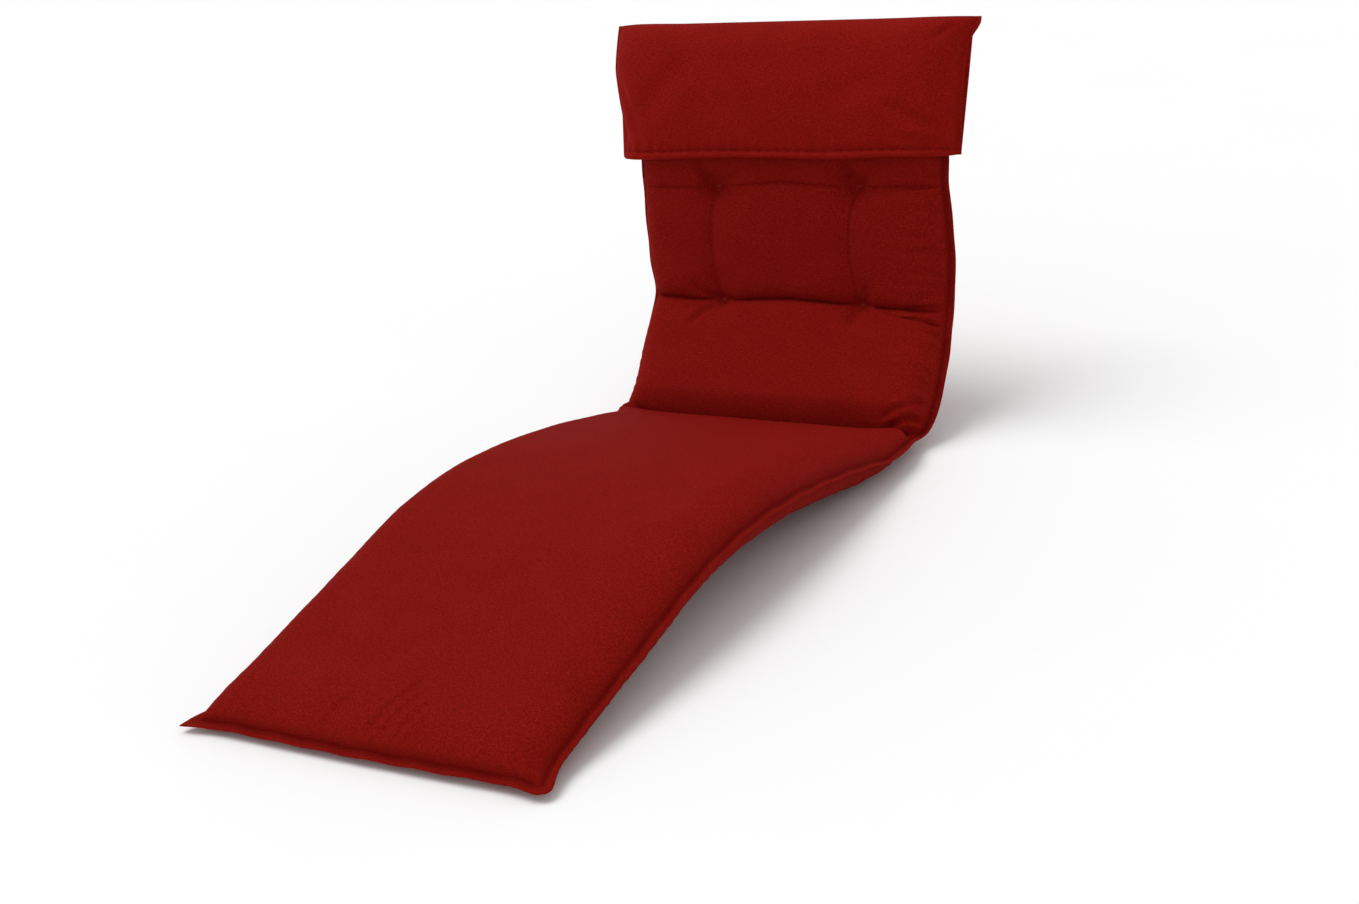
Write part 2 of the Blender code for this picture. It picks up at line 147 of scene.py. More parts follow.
# The fold at the hip, where the front panel's seat and back roll down into a corner: how far along
# the pad it reaches, how high over the corner its bottom lies, between which places across it fades
# out at its left end, and how much fuller the pad is there. Both side seams are lifted, as they cut
# the corner of the bend, and the full front settles back by these shares of the lift.
HINGE_REACH = 0.060
HINGE_BOTTOM = 0.014
HINGE_END = (-0.248, -0.205)
HIP_PLUG = 0.30
HIP_PLUG_WIDTH = 0.035
HIP_LEFT_LIFT = 0.021
HIP_RIGHT_LIFT = 0.021
HIP_LIFT_AT = HIP - 0.038
HIP_LIFT_LENGTH = 0.044
HIP_LIFT_WIDTH = 0.045
LEFT_SETTLED = 0.75
RIGHT_SETTLED = 0.25

# The tufts and the channels sewn between them, which bow to the left and draw the cloth aside. Close
# round a tuft the cloth has no wrinkles of its own.
TUFT_X = 0.113
TUFT_DEPTH = 0.70
TUFT_REACH = 0.014
TUFT_OPENING = 0.014
BACK_TUFT_DEPTH = 0.45
CHANNEL_DEPTH = 0.15
CHANNEL_REACH = 0.012
LEFT_CHANNEL_BOW = 0.007
RIGHT_CHANNEL_BOW = 0.012
CHANNEL_PULL = 0.060
CHANNEL_LINE = (0.0022, 0.0022)
CHANNEL_LINE_WIDTH = (0.0038, 0.0020)
CHANNEL_FADE = 0.012
STITCH_HALF = 0.006
TUFT_BARE = 0.004
TUFT_BLEND = 0.008

# Creases listed one by one: from one place to another, how deep, and how wide. A ridge's depth is negative.
Fold = namedtuple("Fold", "arc x to_arc to_x depth width")
FOLDS = (
    # The fan at the right end of the lower tuft row
    Fold(LOWER_TUFTS - 0.008, 0.160, LOWER_TUFTS - 0.025, 0.246, 0.0068, 0.0060),
    Fold(LOWER_TUFTS + 0.006, 0.186, LOWER_TUFTS + 0.016, 0.246, 0.0032, 0.0060),
    Fold(LOWER_TUFTS + 0.018, 0.200, LOWER_TUFTS + 0.031, 0.246, 0.0022, 0.0060),
    # Round the lower tufts
    Fold(LOWER_TUFTS - 0.006, -0.122, LOWER_TUFTS - 0.050, -0.156, 0.0032, 0.0080),
    Fold(LOWER_TUFTS - 0.004, -0.132, LOWER_TUFTS - 0.022, -0.172, 0.0020, 0.0060),
    Fold(LOWER_TUFTS + 0.006, -0.124, LOWER_TUFTS + 0.026, -0.158, 0.0040, 0.0100),
    Fold(LOWER_TUFTS - 0.005, 0.122, LOWER_TUFTS - 0.036, 0.160, 0.0032, 0.0070),
    Fold(LOWER_TUFTS - 0.008, 0.112, LOWER_TUFTS - 0.040, 0.106, 0.0040, 0.0120),
    Fold(LOWER_TUFTS - 0.006, 0.104, LOWER_TUFTS - 0.020, 0.052, 0.0022, 0.0070),
    Fold(LOWER_TUFTS + 0.006, 0.118, LOWER_TUFTS + 0.030, 0.136, 0.0026, 0.0100),
    # Round the upper tufts
    Fold(UPPER_TUFTS + 0.005, -0.118, UPPER_TUFTS + 0.040, -0.136, 0.0050, 0.0110),
    Fold(UPPER_TUFTS + 0.004, -0.104, UPPER_TUFTS + 0.018, -0.062, 0.0024, 0.0080),
    Fold(UPPER_TUFTS - 0.004, -0.104, UPPER_TUFTS - 0.010, -0.050, 0.0018, 0.0070),
    Fold(UPPER_TUFTS + 0.006, 0.110, UPPER_TUFTS + 0.040, 0.102, 0.0055, 0.0130),
    Fold(UPPER_TUFTS + 0.004, 0.120, UPPER_TUFTS + 0.024, 0.146, 0.0028, 0.0080),
    Fold(UPPER_TUFTS - 0.006, 0.126, UPPER_TUFTS - 0.001, 0.236, 0.0022, 0.0050),
    # The bunched cloth at the right end of the hip crease
    Fold(HIP + 0.020, 0.196, HIP + 0.046, 0.244, 0.0042, 0.0065),
    Fold(HIP + 0.034, 0.190, HIP + 0.070, 0.238, 0.0026, 0.0075),
    Fold(HIP + 0.004, 0.204, HIP + 0.018, 0.248, 0.0048, 0.0060),
    Fold(HIP - 0.010, 0.206, HIP - 0.006, 0.248, 0.0040, 0.0060),
    Fold(HIP - 0.024, 0.214, HIP - 0.034, 0.248, 0.0026, 0.0065),
    Fold(HIP + 0.030, -0.246, HIP + 0.012, -0.190, 0.0022, 0.0070),
    # Fine ridges at the leg end
    Fold(0.026, -0.064, 0.060, -0.048, -0.0022, 0.0038),
    Fold(0.026, 0.002, 0.098, 0.030, -0.0027, 0.0042),
    Fold(0.024, 0.022, 0.080, 0.044, -0.0021, 0.0038),
    Fold(0.022, 0.042, 0.064, 0.060, -0.0022, 0.0038),
    Fold(0.022, 0.058, 0.052, 0.074, -0.0016, 0.0036),
)

# How steeply a fold fades in from its start and out to its end, and how low its shoulders lie
FOLD_RAMP = 4
FOLD_START_SHARE = 0.45
FOLD_END_SHARE = 0.25
FOLD_SHOULDER = 0.9

# Puckers along the seam, in two spacings: how far in they reach, how far in they and the folds take
# to rise, how they stray, and their depth at places along the pad
PUCKER_SPACING = 0.017
WIDE_PUCKER_SPACING = 0.0263
WIDE_PUCKER_SHARE = 0.6
WIDE_PUCKER_TURN = 1.3
PUCKER_REACH = 0.020
SEAM_RISE = 0.004
PUCKER_STRAY = 0.006
PUCKER_STRAY_TURN = 37
LEFT_PUCKER_SLANT = 0.4
END_PUCKER_SHARE = 0.5
END_PUCKER_PLACE = 0.7
BACK_PUCKER_SHARE = 0.8
PUCKER_ARC = (0.0, 0.10, 0.50, HIP - 0.10, HIP, HIP + 0.10, LOWER_TUFTS - 0.03, LOWER_TUFTS + 0.04, PAD_TOP)
PUCKER_DEPTH = (0.0007, 0.0004, 0.0004, 0.0006, 0.0020, 0.0010, 0.0016, 0.0021, 0.0013)
PUCKER_LEFT = 0.4

# The slow unevenness of the filling, as crossed waves. The back and the hood have other stretches of
# them: how much closer the waves are along the pad, how far on they start, and how close across.
UNEVEN = 0.0007
BACK_UNEVEN = 1.3 * UNEVEN
BACK_STRETCH = (0.8, 0.3, -1.0)
HOOD_UNEVEN = 1.2 * UNEVEN
HOOD_STRETCH = (1.6, 0.2, 1.3)
UNEVEN_INSET = 0.010
UNEVEN_WAVES = ((7.1, 3.3, 0.4), (-4.6, 8.7, 1.9), (11.8, -6.1, 3.1), (3.9, 14.3, 5.2), (16.7, 9.4, 0.9))

# The hood: its width at the top and at the hem, how far it lies to the left, its side seams, the
# thickness of its doubled cloth, and its turned hem with the groove and the gathers over it
HOOD_TOP_WIDTH = 0.573
HOOD_HEM_WIDTH = 0.548
HOOD_SHIFT = -0.0065
HOOD_SEAM = 0.008
HOOD_WALL = 0.0025
HEM_HEIGHT = 0.010
HEM_EXTRA = 0.0026
HEM_ROWS = (0.0, 0.10, 0.27, 0.5, 0.73, 0.90, 1.0, 1.13, 1.30, 1.52)
HEM_GROOVE = 0.0030
HEM_GROOVE_WIDTH = 0.0028
HEM_SEAM = HOOD_HEM + HEM_HEIGHT + HEM_GROOVE_WIDTH / 2
HEM_SIDE_RAMP = 3
HEM_DROP = 0.0016
HEM_DROP_TURN = 21
HEM_DROP_START = 0.6
HEM_DROP_REACH = 0.030
GATHER_DEPTH = 0.0009
GATHER_TURN = 330
GATHER_STRAY = 2
GATHER_STRAY_TURN = 41
GATHER_UP = 0.006
GATHER_REACH = 0.010
HOOD_COVER = 0.012
SEAT_GAP = 0.0003

# How far the hood stands off the pad, how it rounds off to its sides and its top, how its back spreads
# downwards, and how its side edges run
HOOD_TOP_GAP = HOOD_WALL + SEAT_GAP
HOOD_FRONT = 0.040
HOOD_BACK_TOP = 0.036
HOOD_ROLL = 0.078
HOOD_SPREAD = 0.8
HOOD_TOP_ROLL = 0.050
HOOD_EAR = 0.014
HOOD_EAR_DOWN = 0.004
HOOD_EAR_LENGTH = 0.020
HOOD_LEFT_DOWN = (0.00, 0.30, 0.60, 0.82, 1.00)
HOOD_LEFT_OUT = (0.000, 0.003, -0.004, -0.010, 0.001)
HOOD_FOLDS = (
    Fold(PAD_TOP - 0.118, 0.190, PAD_TOP - 0.150, 0.262, 0.0034, 0.0100),
    Fold(PAD_TOP - 0.150, 0.205, PAD_TOP - 0.158, 0.266, -0.0022, 0.0070),
    Fold(PAD_TOP - 0.050, -0.130, PAD_TOP - 0.130, -0.235, 0.0026, 0.0260),
    Fold(PAD_TOP - 0.080, -0.268, PAD_TOP - 0.150, -0.236, 0.0030, 0.0120),
    Fold(PAD_TOP - 0.110, 0.080, PAD_TOP - 0.085, 0.180, 0.0016, 0.0240),
    Fold(PAD_TOP - 0.012, 0.262, PAD_TOP - 0.034, 0.246, 0.0026, 0.0080),
)

# The thread tacks and the topstitching
TACK_STRANDS = 5
TACK_LENGTH = 0.008
TACK_SEED = 7
STRAND_RADIUS = 0.00042
STRAND_SPACING = 1.5 * STRAND_RADIUS
STRAND_SPOTS = 9
STRAND_SIDES = 8
STRAND_TILT = 0.12
STRAND_BOW = (0.6, 1.2)
STRAND_END_DROP = 5.0
THREAD_TIP = 0.45
STITCH_LENGTH = 0.0032
STITCH_GAP = 0.0010
STITCH_START = 0.12
STITCH_RADIUS = 0.00036
STITCH_RISE = (-0.35, 0.5, 0.5, -0.35)
STITCH_INSET = 0.0085
STITCH_SIDES = 6
ROUTE_STEP = 0.006
HEM_ROUTE_SPOTS = 120
HEM_ROUTE_INSET = 0.010
TOPSTITCH_SHADE = 0.55
TUFT_TWIST = 900.0
TOPSTITCH_TWIST = 1400.0

# The cloth's dye, in noise scales for each metre, and its finish. The hood's copy of the cloth is painted a
# little paler, as painted light for the stronger light that falls on its front.
# Each rough pair is the roughness where cloth or thread lies low and where it stands high.
HOOD_PAINTED_LIGHT = 1.16
FINE_STREAK = 1100.0
LONG_STREAK = 150.0
SPECKLE_SCALE = 420.0
CLOUD_SCALE = 22.0
CLOUD_SHARE = 0.12
MOTTLE_GAIN = 3.2
YARN_RISE = 0.4
CLOTH_ROUGH = (0.93, 0.80)
SHEEN_TINT = (0.9, 0.04, 0.03)
HOOD_WEAVE_OFFSET = (0.3, 0.7, 0.0)
THREAD_ROUGH = (0.7, 0.5)
# The share of the thread's colour in the grooves of its twist: painted shade.
THREAD_GROOVE_PAINTED_SHADE = 0.6
THREAD_RISE = 0.0001
FLOOR_SHADE = 0.985

# The stage
CAMERA_PLACE = (1.3508, -1.8674, 0.9899)
CAMERA_AIM = (-0.0018, 0.1462, 0.0539)
CAMERA_ROLL = -8.291
SENSOR_WIDTH = 36.0
LIGHT_FROM = (-1.15, -0.30, 2.75)
FLOOR_SIZE = 120.0
FLOOR_DROP = 0.0006

# How finely the cloth is divided before its one subdivision
ROLL_ANGLES = tuple(range(8, 91, 8)) + (90,)
FLANGE_STEPS = (0.0, 0.0012, 0.0050, 0.0090, FLANGE_WIDTH)
SLIT_ROWS = (0.08, 0.2, 0.36, 0.55, 0.77, 1.0)
TUFT_COLUMNS = (-0.0095, -0.0055, -0.0025, 0.0, 0.0025, 0.0055, 0.0095)
CLOTH_STEP = 0.0098
WELD = 0.00001

Station = namedtuple("Station", "at rim crown")


def side_profile():
    """Arc, slope, y and z along the pad, levelled so that the leg end and the hip are as low."""
    arc = np.arange(-PROFILE_SPARE, PAD_TOP + PROFILE_SPARE, PROFILE_STEP)
    slope = np.interp(arc, [s.arc for s in SECTIONS], [s.slope for s in SECTIONS])
    reach = int(3 * BEND_SMOOTHING / PROFILE_STEP)
    weights = np.exp(-0.5 * (np.arange(-reach, reach + 1) * PROFILE_STEP / BEND_SMOOTHING) ** 2)
    slope = np.convolve(np.pad(slope, reach, mode="edge"), weights / weights.sum(), mode="valid")
    slope = np.radians(slope)
    filling = np.interp(arc, [s.arc for s in SECTIONS], [s.back for s in SECTIONS])
    filling = filling * np.sqrt(1 - np.clip(1 - (arc - FLANGE_WIDTH) / END_ROLL, 0, 1) ** 2)
    for _ in range(LEVELLING_ROUNDS):
        y = np.cumsum(np.cos(slope)) * PROFILE_STEP
        z = np.cumsum(np.sin(slope)) * PROFILE_STEP
        low_y = y + filling * np.sin(slope)
        low_z = z - filling * np.cos(slope)
        leg = np.argmin(np.where((arc > FLANGE_WIDTH) & (arc < HIP / 2), low_z, np.inf))
        hip = np.argmin(np.where(arc > HIP / 2, low_z, np.inf))
        slope = slope - math.atan2(low_z[hip] - low_z[leg], low_y[hip] - low_y[leg])
    return arc, slope, y - y[hip], z - low_z[hip] - FLOOR_SAG


ARC, SLOPE, PROFILE_Y, PROFILE_Z = side_profile()


def section_value(arc, column):
    """One column of the sections, at these places along the pad."""
    return np.interp(arc, [s.arc for s in SECTIONS], [getattr(s, column) for s in SECTIONS])


def profile_point(arc, height):
    """The y and z of places on the side profile, this far in front of the seam."""
    slope = np.interp(arc, ARC, SLOPE)
    y = np.interp(arc, ARC, PROFILE_Y) - height * np.sin(slope)
    return y, np.interp(arc, ARC, PROFILE_Z) + height * np.cos(slope)


def unplaced(arc, x, height):
    """The points at these arcs, this far across and in front of the seam, before they are stood up."""
    x = x * section_value(arc, "width") + section_value(arc, "drift")
    return np.stack([x, *profile_point(arc, height)], axis=-1)


def near(distance, length):
    """1 at a place, falling away from it."""
    return np.exp(-((distance / length) ** 2))


def kept(distance, depth, reach):
    """The share of the filling that is left this far from a folded or sewn line."""
    return 1 - depth * np.exp(-np.maximum(distance - STITCH_HALF, 0) / reach)


def channel_distance(arc, x):
    """How far a place in the cloth is from the nearer of the two sewn channels between the tufts."""
    return np.hypot(np.abs(x) - TUFT_X, arc - np.clip(arc, LOWER_TUFTS, UPPER_TUFTS))


def bowed(arc, x):
    """How far the channels, which bow to the left, draw the cloth beside them aside."""
    along = np.clip((arc - LOWER_TUFTS) / (UPPER_TUFTS - LOWER_TUFTS), 0, 1)
    bow = np.where(x < 0, LEFT_CHANNEL_BOW, RIGHT_CHANNEL_BOW) * np.sin(math.pi * along)
    return bow * near(np.abs(x) - TUFT_X, CHANNEL_PULL)


def tuft_distance(arc, x):
    """How far a place in the cloth is from the nearest tuft."""
    rows = np.minimum(np.abs(arc - LOWER_TUFTS), np.abs(arc - UPPER_TUFTS))
    return np.hypot(rows, np.abs(x) - TUFT_X)


def turned(line, arc):
    """How far the filling has rolled up beside a slit: nothing at its bottom, a quarter turn where full."""
    reach = np.where(arc < line.arc, line.below, line.above)
    return np.clip(np.abs(arc - line.arc) / reach, 0, 1) * math.pi / 2


def front_filling(arc, x):
    """How far the front panel stands off the seam, with its tufts, channels, valleys and slits."""
    share = kept(channel_distance(arc, x), CHANNEL_DEPTH, CHANNEL_REACH)
    closed = 1 - near(tuft_distance(arc, x), TUFT_OPENING)
    for line in CREASES:
        valley = line.left + (line.right - line.left) * (0.5 + x / PAD_WIDTH)
        share = share * (1 - valley * np.exp(-np.abs(arc - line.arc) / line.reach))
        share = share * (1 - line.slit * (1 - np.sin(turned(line, arc))) * closed)
    return section_value(arc, "front") * share * kept(tuft_distance(arc, x), TUFT_DEPTH, TUFT_REACH)


def back_filling(arc, x):
    """How far the back panel stands off the seam, with its tufts."""
    return section_value(arc, "back") * kept(tuft_distance(arc, x), BACK_TUFT_DEPTH, TUFT_REACH)


def stood_up():
    """How far the part's own frame lies from the profile's, read from where a tuft's thread is."""
    low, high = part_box("tack_front_1")
    filling = front_filling(LOWER_TUFTS, -TUFT_X)
    start = unplaced(LOWER_TUFTS, -TUFT_X, filling)
    middle = (low + high) / 2
    return np.array([middle.x - start[0], middle.y - start[1], 0.0])


STAND = stood_up()


def place(arc, x, height):
    """The points at these arcs, this far across and in front of the seam, on or over the floor."""
    points = unplaced(arc, x, height) + STAND
    points[..., 2] = np.maximum(points[..., 2], 0.0)
    return points


def edge_shift(arc, x):
    """How far the cloth lies outwards of the straight edge: the leg end's corners stand out as ears,
    and the ends of the sewn lines are drawn in."""
    left = LEFT_EAR * near(arc, EAR_LENGTH)
    right = RIGHT_EAR * near(arc, EAR_LENGTH)
    for line in CREASES:
        left = left - line.left_draw * near(arc - line.arc, DRAW_LENGTH)
        right = right - line.right_draw * near(arc - line.arc, DRAW_LENGTH)
    return np.where(x < 0, left, right)


def lapped(arc, x):
    """The arc where this place of the front lies, once it rolls into the slits and laps over them."""
    closed = 1 - near(tuft_distance(arc, x), TUFT_OPENING)
    moved = arc
    for line in SLITS:
        turn = turned(line, arc)
        reach = np.where(arc < line.arc, -line.below, line.above)
        parted = np.where(arc < line.arc, SLIT_WIDTH, 0)
        rolled = reach * (1 - np.cos(turn)) - line.lap * np.sin(2 * turn) - parted * np.cos(turn)
        moved = moved + np.where(turn < math.pi / 2, line.arc + rolled - arc, 0) * closed
    return moved


def hinge():
    """The corner where seat and back would meet if the pad were bent sharply, and their two slopes."""
    low_y, low_z = profile_point(HIP - HINGE_REACH, 0)
    high_y, high_z = profile_point(HIP + HINGE_REACH, 0)
    low, high = np.interp([HIP - HINGE_REACH, HIP + HINGE_REACH], ARC, SLOPE)
    run = ((high_y - low_y) * math.sin(high) - (high_z - low_z) * math.cos(high)) / math.sin(high - low)
    return low_y + run * math.cos(low), low_z + run * math.sin(low), low, high


def hip_point(arc, filling):
    """The y and z of places on the front panel near the hip, where it rolls down into the fold."""
    corner_y, corner_z, low, high = hinge()
    away, lean = np.abs(arc - HIP), math.tan((high - low) / 2)
    below_y, below_z = profile_point(HIP - HINGE_REACH, 0)
    above_y, above_z = profile_point(HIP + HINGE_REACH, 0)
    below_stretch = math.hypot(below_y - corner_y, below_z - corner_z) / HINGE_REACH
    above_stretch = math.hypot(above_y - corner_y, above_z - corner_z) / HINGE_REACH
    slope = np.where(arc < HIP, low, high)
    stretch = np.where(arc < HIP, below_stretch, above_stretch)
    roll = np.where(arc < HIP, HIP_LINE.below, HIP_LINE.above)
    turn = np.clip(away / roll, 0, 1) * math.pi / 2
    height = HINGE_BOTTOM + (filling - HINGE_BOTTOM) * np.sin(turn)
    width = roll * stretch - filling * lean - SLIT_WIDTH / 2
    rolled = height * lean + SLIT_WIDTH / 2 + width * (1 - np.cos(turn))
    out = np.where(away < roll, rolled, away * stretch) * np.sign(arc - HIP + WELD)
    y = corner_y + out * np.cos(slope) - height * np.sin(slope)
    return y, corner_z + out * np.sin(slope) + height * np.cos(slope)


def strayed(arc, x):
    """The arc where this place of the cloth lies, once the lines and the ends have strayed."""
    for line_arc, wander in WANDER.items():
        arc = arc + np.interp(x, WANDER_X, wander) * near(arc - line_arc, WANDER_REACH)
    return arc


def rolled_edge(marks, rims, roll):
    """Stations from an edge inwards: the flange's marks, then the filling rolling up from the seam."""
    stations = [Station(at, rim, 0) for at, rim in zip(marks, rims)]
    for angle in ROLL_ANGLES:
        turn = math.radians(angle)
        stations.append(Station(marks[-1] + roll * (1 - math.cos(turn)), 1, math.sin(turn)))
    return stations


def filled_in(marks, step):
    """Even places between the marks, each mark among them."""
    marks = sorted(marks)
    places = [marks[0]]
    for low, high in zip(marks, marks[1:]):
        count = max(math.ceil((high - low) / step - 1e-6), 1)
        places += [low + (high - low) * i / count for i in range(1, count + 1)]
    return places


def across_stations(half_width, edge, marks, step):
    """Stations from the left edge to the right one, with the middle ones evenly placed between marks."""
    inner = half_width - edge[-1].at
    marks = [m for m in marks if abs(m) < inner - step / 2]
    middle = filled_in([-inner, inner] + marks, step)[1:-1]
    left = [Station(s.at - half_width, s.rim, s.crown) for s in edge]
    right = [Station(half_width - s.at, s.rim, s.crown) for s in reversed(edge)]
    return left + [Station(x, 1, 1) for x in middle] + right


def laid_out(stations, height):
    """How far each station lies along the cloth, over the flange and the roll."""
    at = np.array([s.at for s in stations])
    crown = np.array([s.crown for s in stations]) * height
    steps = np.hypot(np.diff(at), np.diff(crown))
    lengths = np.concatenate([[0.0], np.cumsum(steps)])
    return lengths - lengths.mean()


def numbers(data, name, width):
    """One value of each point or place, as rows of this many numbers."""
    values = np.empty(len(data) * width, np.float32)
    data.foreach_get(name, values)
    return values.reshape(-1, width).astype(float)


def cloth_panel(columns, rows, height, point):
    """One panel as a grid: point gives where its places go, and each keeps its place in the cloth."""
    mesh = bmesh.new()
    bmesh.ops.create_grid(mesh, x_segments=len(columns) - 1, y_segments=len(rows) - 1, size=1)
    panel = bpy.data.meshes.new("panel")
    mesh.to_mesh(panel)
    mesh.free()
    spots = numbers(panel.vertices, "co", 3)
    column = np.rint((spots[:, 0] + 1) / 2 * (len(columns) - 1)).astype(int)
    row = np.rint((spots[:, 1] + 1) / 2 * (len(rows) - 1)).astype(int)
    across = Station(*np.array(columns)[column].T)
    along = Station(*np.array(rows)[row].T)
    panel.vertices.foreach_set("co", point(across, along).ravel())
    flat = np.stack([across.at, along.at, np.zeros(len(spots))], axis=-1)
    weave = np.stack([laid_out(columns, height)[column], laid_out(rows, height)[row], flat[:, 2]], axis=-1)
    for name, values in (("flat_place", flat), ("weave_place", weave)):
        attribute = panel.attributes.new(name, "FLOAT_VECTOR", "POINT")
        attribute.data.foreach_set("vector", values.ravel())
    return panel


def sewn(name, panels, sides):
    """The panels welded along their edges, as one closed mesh that faces out. Each point's side is kept
    as the third number of its flat place."""
    mesh = bmesh.new()
    for panel, side in zip(panels, sides):
        flat = numbers(panel.attributes["flat_place"].data, "vector", 3)
        flat[:, 2] = side
        panel.attributes["flat_place"].data.foreach_set("vector", flat.ravel())
        mesh.from_mesh(panel)
        bpy.data.meshes.remove(panel)
    bmesh.ops.remove_doubles(mesh, verts=mesh.verts, dist=WELD)
    rims = [e for e in mesh.edges if e.is_boundary]
    if rims:
        bmesh.ops.bridge_loops(mesh, edges=rims)
    bmesh.ops.recalc_face_normals(mesh, faces=mesh.faces)
    if mesh.calc_volume(signed=True) < 0:
        bmesh.ops.reverse_faces(mesh, faces=mesh.faces)
    return linked_piece(name, mesh)


def subdivided(piece, levels):
    """Smooths the piece with a subdivision surface, kept as its mesh."""
    modifier = piece.modifiers.new("smooth", "SUBSURF")
    modifier.levels = modifier.render_levels = levels
    baked(piece)


def baked(piece):
    """Makes the piece's mesh what its modifiers show."""
    graph = bpy.context.evaluated_depsgraph_get()
    data = bpy.data.meshes.new_from_object(piece.evaluated_get(graph))
    piece.modifiers.clear()
    old = piece.data
    piece.data = data
    bpy.data.meshes.remove(old)
    piece.data.name = piece.name


def segment_distance(fold, arc, x):
    """How far places lie from a fold, and how far along it, from 0 to 1."""
    run_arc, run_x = fold.to_arc - fold.arc, fold.to_x - fold.x
    along = ((arc - fold.arc) * run_arc + (x - fold.x) * run_x) / (run_arc**2 + run_x**2)
    held = np.clip(along, 0, 1)
    return np.hypot(arc - fold.arc - held * run_arc, x - fold.x - held * run_x), held


def folded(folds, arc, x):
    """How far the folds lift the cloth: troughs with soft shoulders, deepest near their start."""
    lift = np.zeros_like(arc)
    for fold in folds:
        distance, along = segment_distance(fold, arc, x)
        share = (distance / fold.width) ** 2
        start = np.minimum(1.0, FOLD_RAMP * along + FOLD_START_SHARE)
        end = np.minimum(1.0, FOLD_RAMP * (1 - along) + FOLD_END_SHARE)
        lift -= fold.depth * start * end * (1 - FOLD_SHOULDER * share) * np.exp(-share)
    return lift


def uneven(arc, x, along=1.0, start=0.0, across=1.0):
    """A soft, slow unevenness of the filling, from -1 to 1."""
    arc, x = (arc * along + start) * math.pi, x * across * math.pi
    waves = [np.sin(a * arc + b * x + turn) for a, b, turn in UNEVEN_WAVES]
    return sum(waves) / len(waves)


def puckers(arc, x, inset):
    """Small gathers that run in from the seam, closer together here and there."""
    depth = np.interp(arc, PUCKER_ARC, PUCKER_DEPTH) * np.where(x < 0, PUCKER_LEFT, 1)
    slant = np.where(x < 0, LEFT_PUCKER_SLANT, 0)
    turn = 2 * math.pi * (arc + PUCKER_STRAY * np.sin(arc * PUCKER_STRAY_TURN) + slant * inset)
    wide = np.sin(turn / WIDE_PUCKER_SPACING + WIDE_PUCKER_TURN)
    wave = np.sin(turn / PUCKER_SPACING) + WIDE_PUCKER_SHARE * wide
    return depth * wave * np.clip(inset / SEAM_RISE, 0, 1) * np.exp(-np.maximum(inset, 0) / PUCKER_REACH)


def pad_relief(flat):
    """How far each place of the pad's cloth is lifted along its normal, by side."""
    x, arc, side = flat.T
    from_side = PAD_WIDTH / 2 - np.abs(x)
    from_end = np.minimum(arc, PAD_TOP - arc)
    inset = np.minimum(from_side, from_end) - FLANGE_WIDTH
    cover = np.clip(inset / UNEVEN_INSET, 0, 1)
    tufted = np.clip((tuft_distance(arc, x) - TUFT_BARE) / TUFT_BLEND, 0, 1)
    front = folded(FOLDS, arc, x) * np.clip(inset / SEAM_RISE, 0, 1)
    line_width = np.where(x < 0, *CHANNEL_LINE_WIDTH)
    line = np.where(x < 0, *CHANNEL_LINE) * near(channel_distance(arc, x), line_width)
    inside = np.clip((arc - LOWER_TUFTS) / CHANNEL_FADE, 0, 1)
    inside = inside * np.clip((UPPER_TUFTS - arc) / CHANNEL_FADE, 0, 1)
    front += UNEVEN * uneven(arc, x) * cover - line * inside
    back = BACK_UNEVEN * uneven(arc, x, *BACK_STRETCH) * cover
    at_end = np.where(from_side < from_end, 0, puckers(x + END_PUCKER_PLACE, arc, inset))
    edge = puckers(arc, x, inset) + END_PUCKER_SHARE * at_end
    return (np.where(side > 0, front, back) + edge * np.where(side > 0, 1, BACK_PUCKER_SHARE)) * tufted


def lifted(piece, relief):
    """Moves each point along its normal by its place's relief, and keeps it on or over the floor."""
    data = piece.data
    spots = numbers(data.vertices, "co", 3)
    normals = numbers(data.vertices, "normal", 3)
    flat = numbers(data.attributes["flat_place"].data, "vector", 3)
    spots = spots + normals * relief(flat)[:, None]
    spots[:, 2] = np.maximum(spots[:, 2], 0.0)
    data.vertices.foreach_set("co", spots.ravel())
    data.update()


def overhung(crown, other, reach):
    """How far the roll bulges out over the flange, where it has risen this far, and not in the corners."""
    return reach * 2 * crown * np.sqrt(1 - np.minimum(crown, 1) ** 2) * other


def front_crown(across, along):
    """How far the front's filling has risen from the side seams. Below the hip it slopes off softly
    to the right one."""
    rise = np.clip((PAD_WIDTH / 2 - FLANGE_WIDTH - across.at) / SOFT_RIGHT_ROLL, 0, 1)
    sloping = np.minimum(across.crown, np.sqrt(1 - (1 - rise) ** 2))
    below_hip = np.clip((HIP - along.at) / RIGHT_ROLL_END, 0, 1)
    return across.crown + (sloping - across.crown) * below_hip


def hip_lift(across, along, side, crown):
    """How far the cloth at the side seams lies over the profile, where it cuts the corner at the hip."""
    lift = np.where(across.at < 0, HIP_LEFT_LIFT, HIP_RIGHT_LIFT)
    lift = lift * near(along.at - HIP_LIFT_AT, HIP_LIFT_LENGTH)
    lift = lift * near(PAD_WIDTH / 2 - np.abs(across.at), HIP_LIFT_WIDTH)
    if side > 0:
        lift = lift * (1 - np.where(across.at < 0, LEFT_SETTLED, RIGHT_SETTLED) * crown)
    return lift


def rolled_into_hip(points, arc, x, filling, crown):
    """The front's points with those near the hip rolled down into the fold there."""
    smooth_y, smooth_z = profile_point(arc, filling)
    fold_y, fold_z = hip_point(arc, filling)
    share = crown * np.clip((x - HINGE_END[0]) / (HINGE_END[1] - HINGE_END[0]), 0, 1)
    share = share * (np.abs(arc - HIP) < HINGE_REACH)
    points[..., 1] += (fold_y - smooth_y) * share
    points[..., 2] += (fold_z - smooth_z) * share
    return points


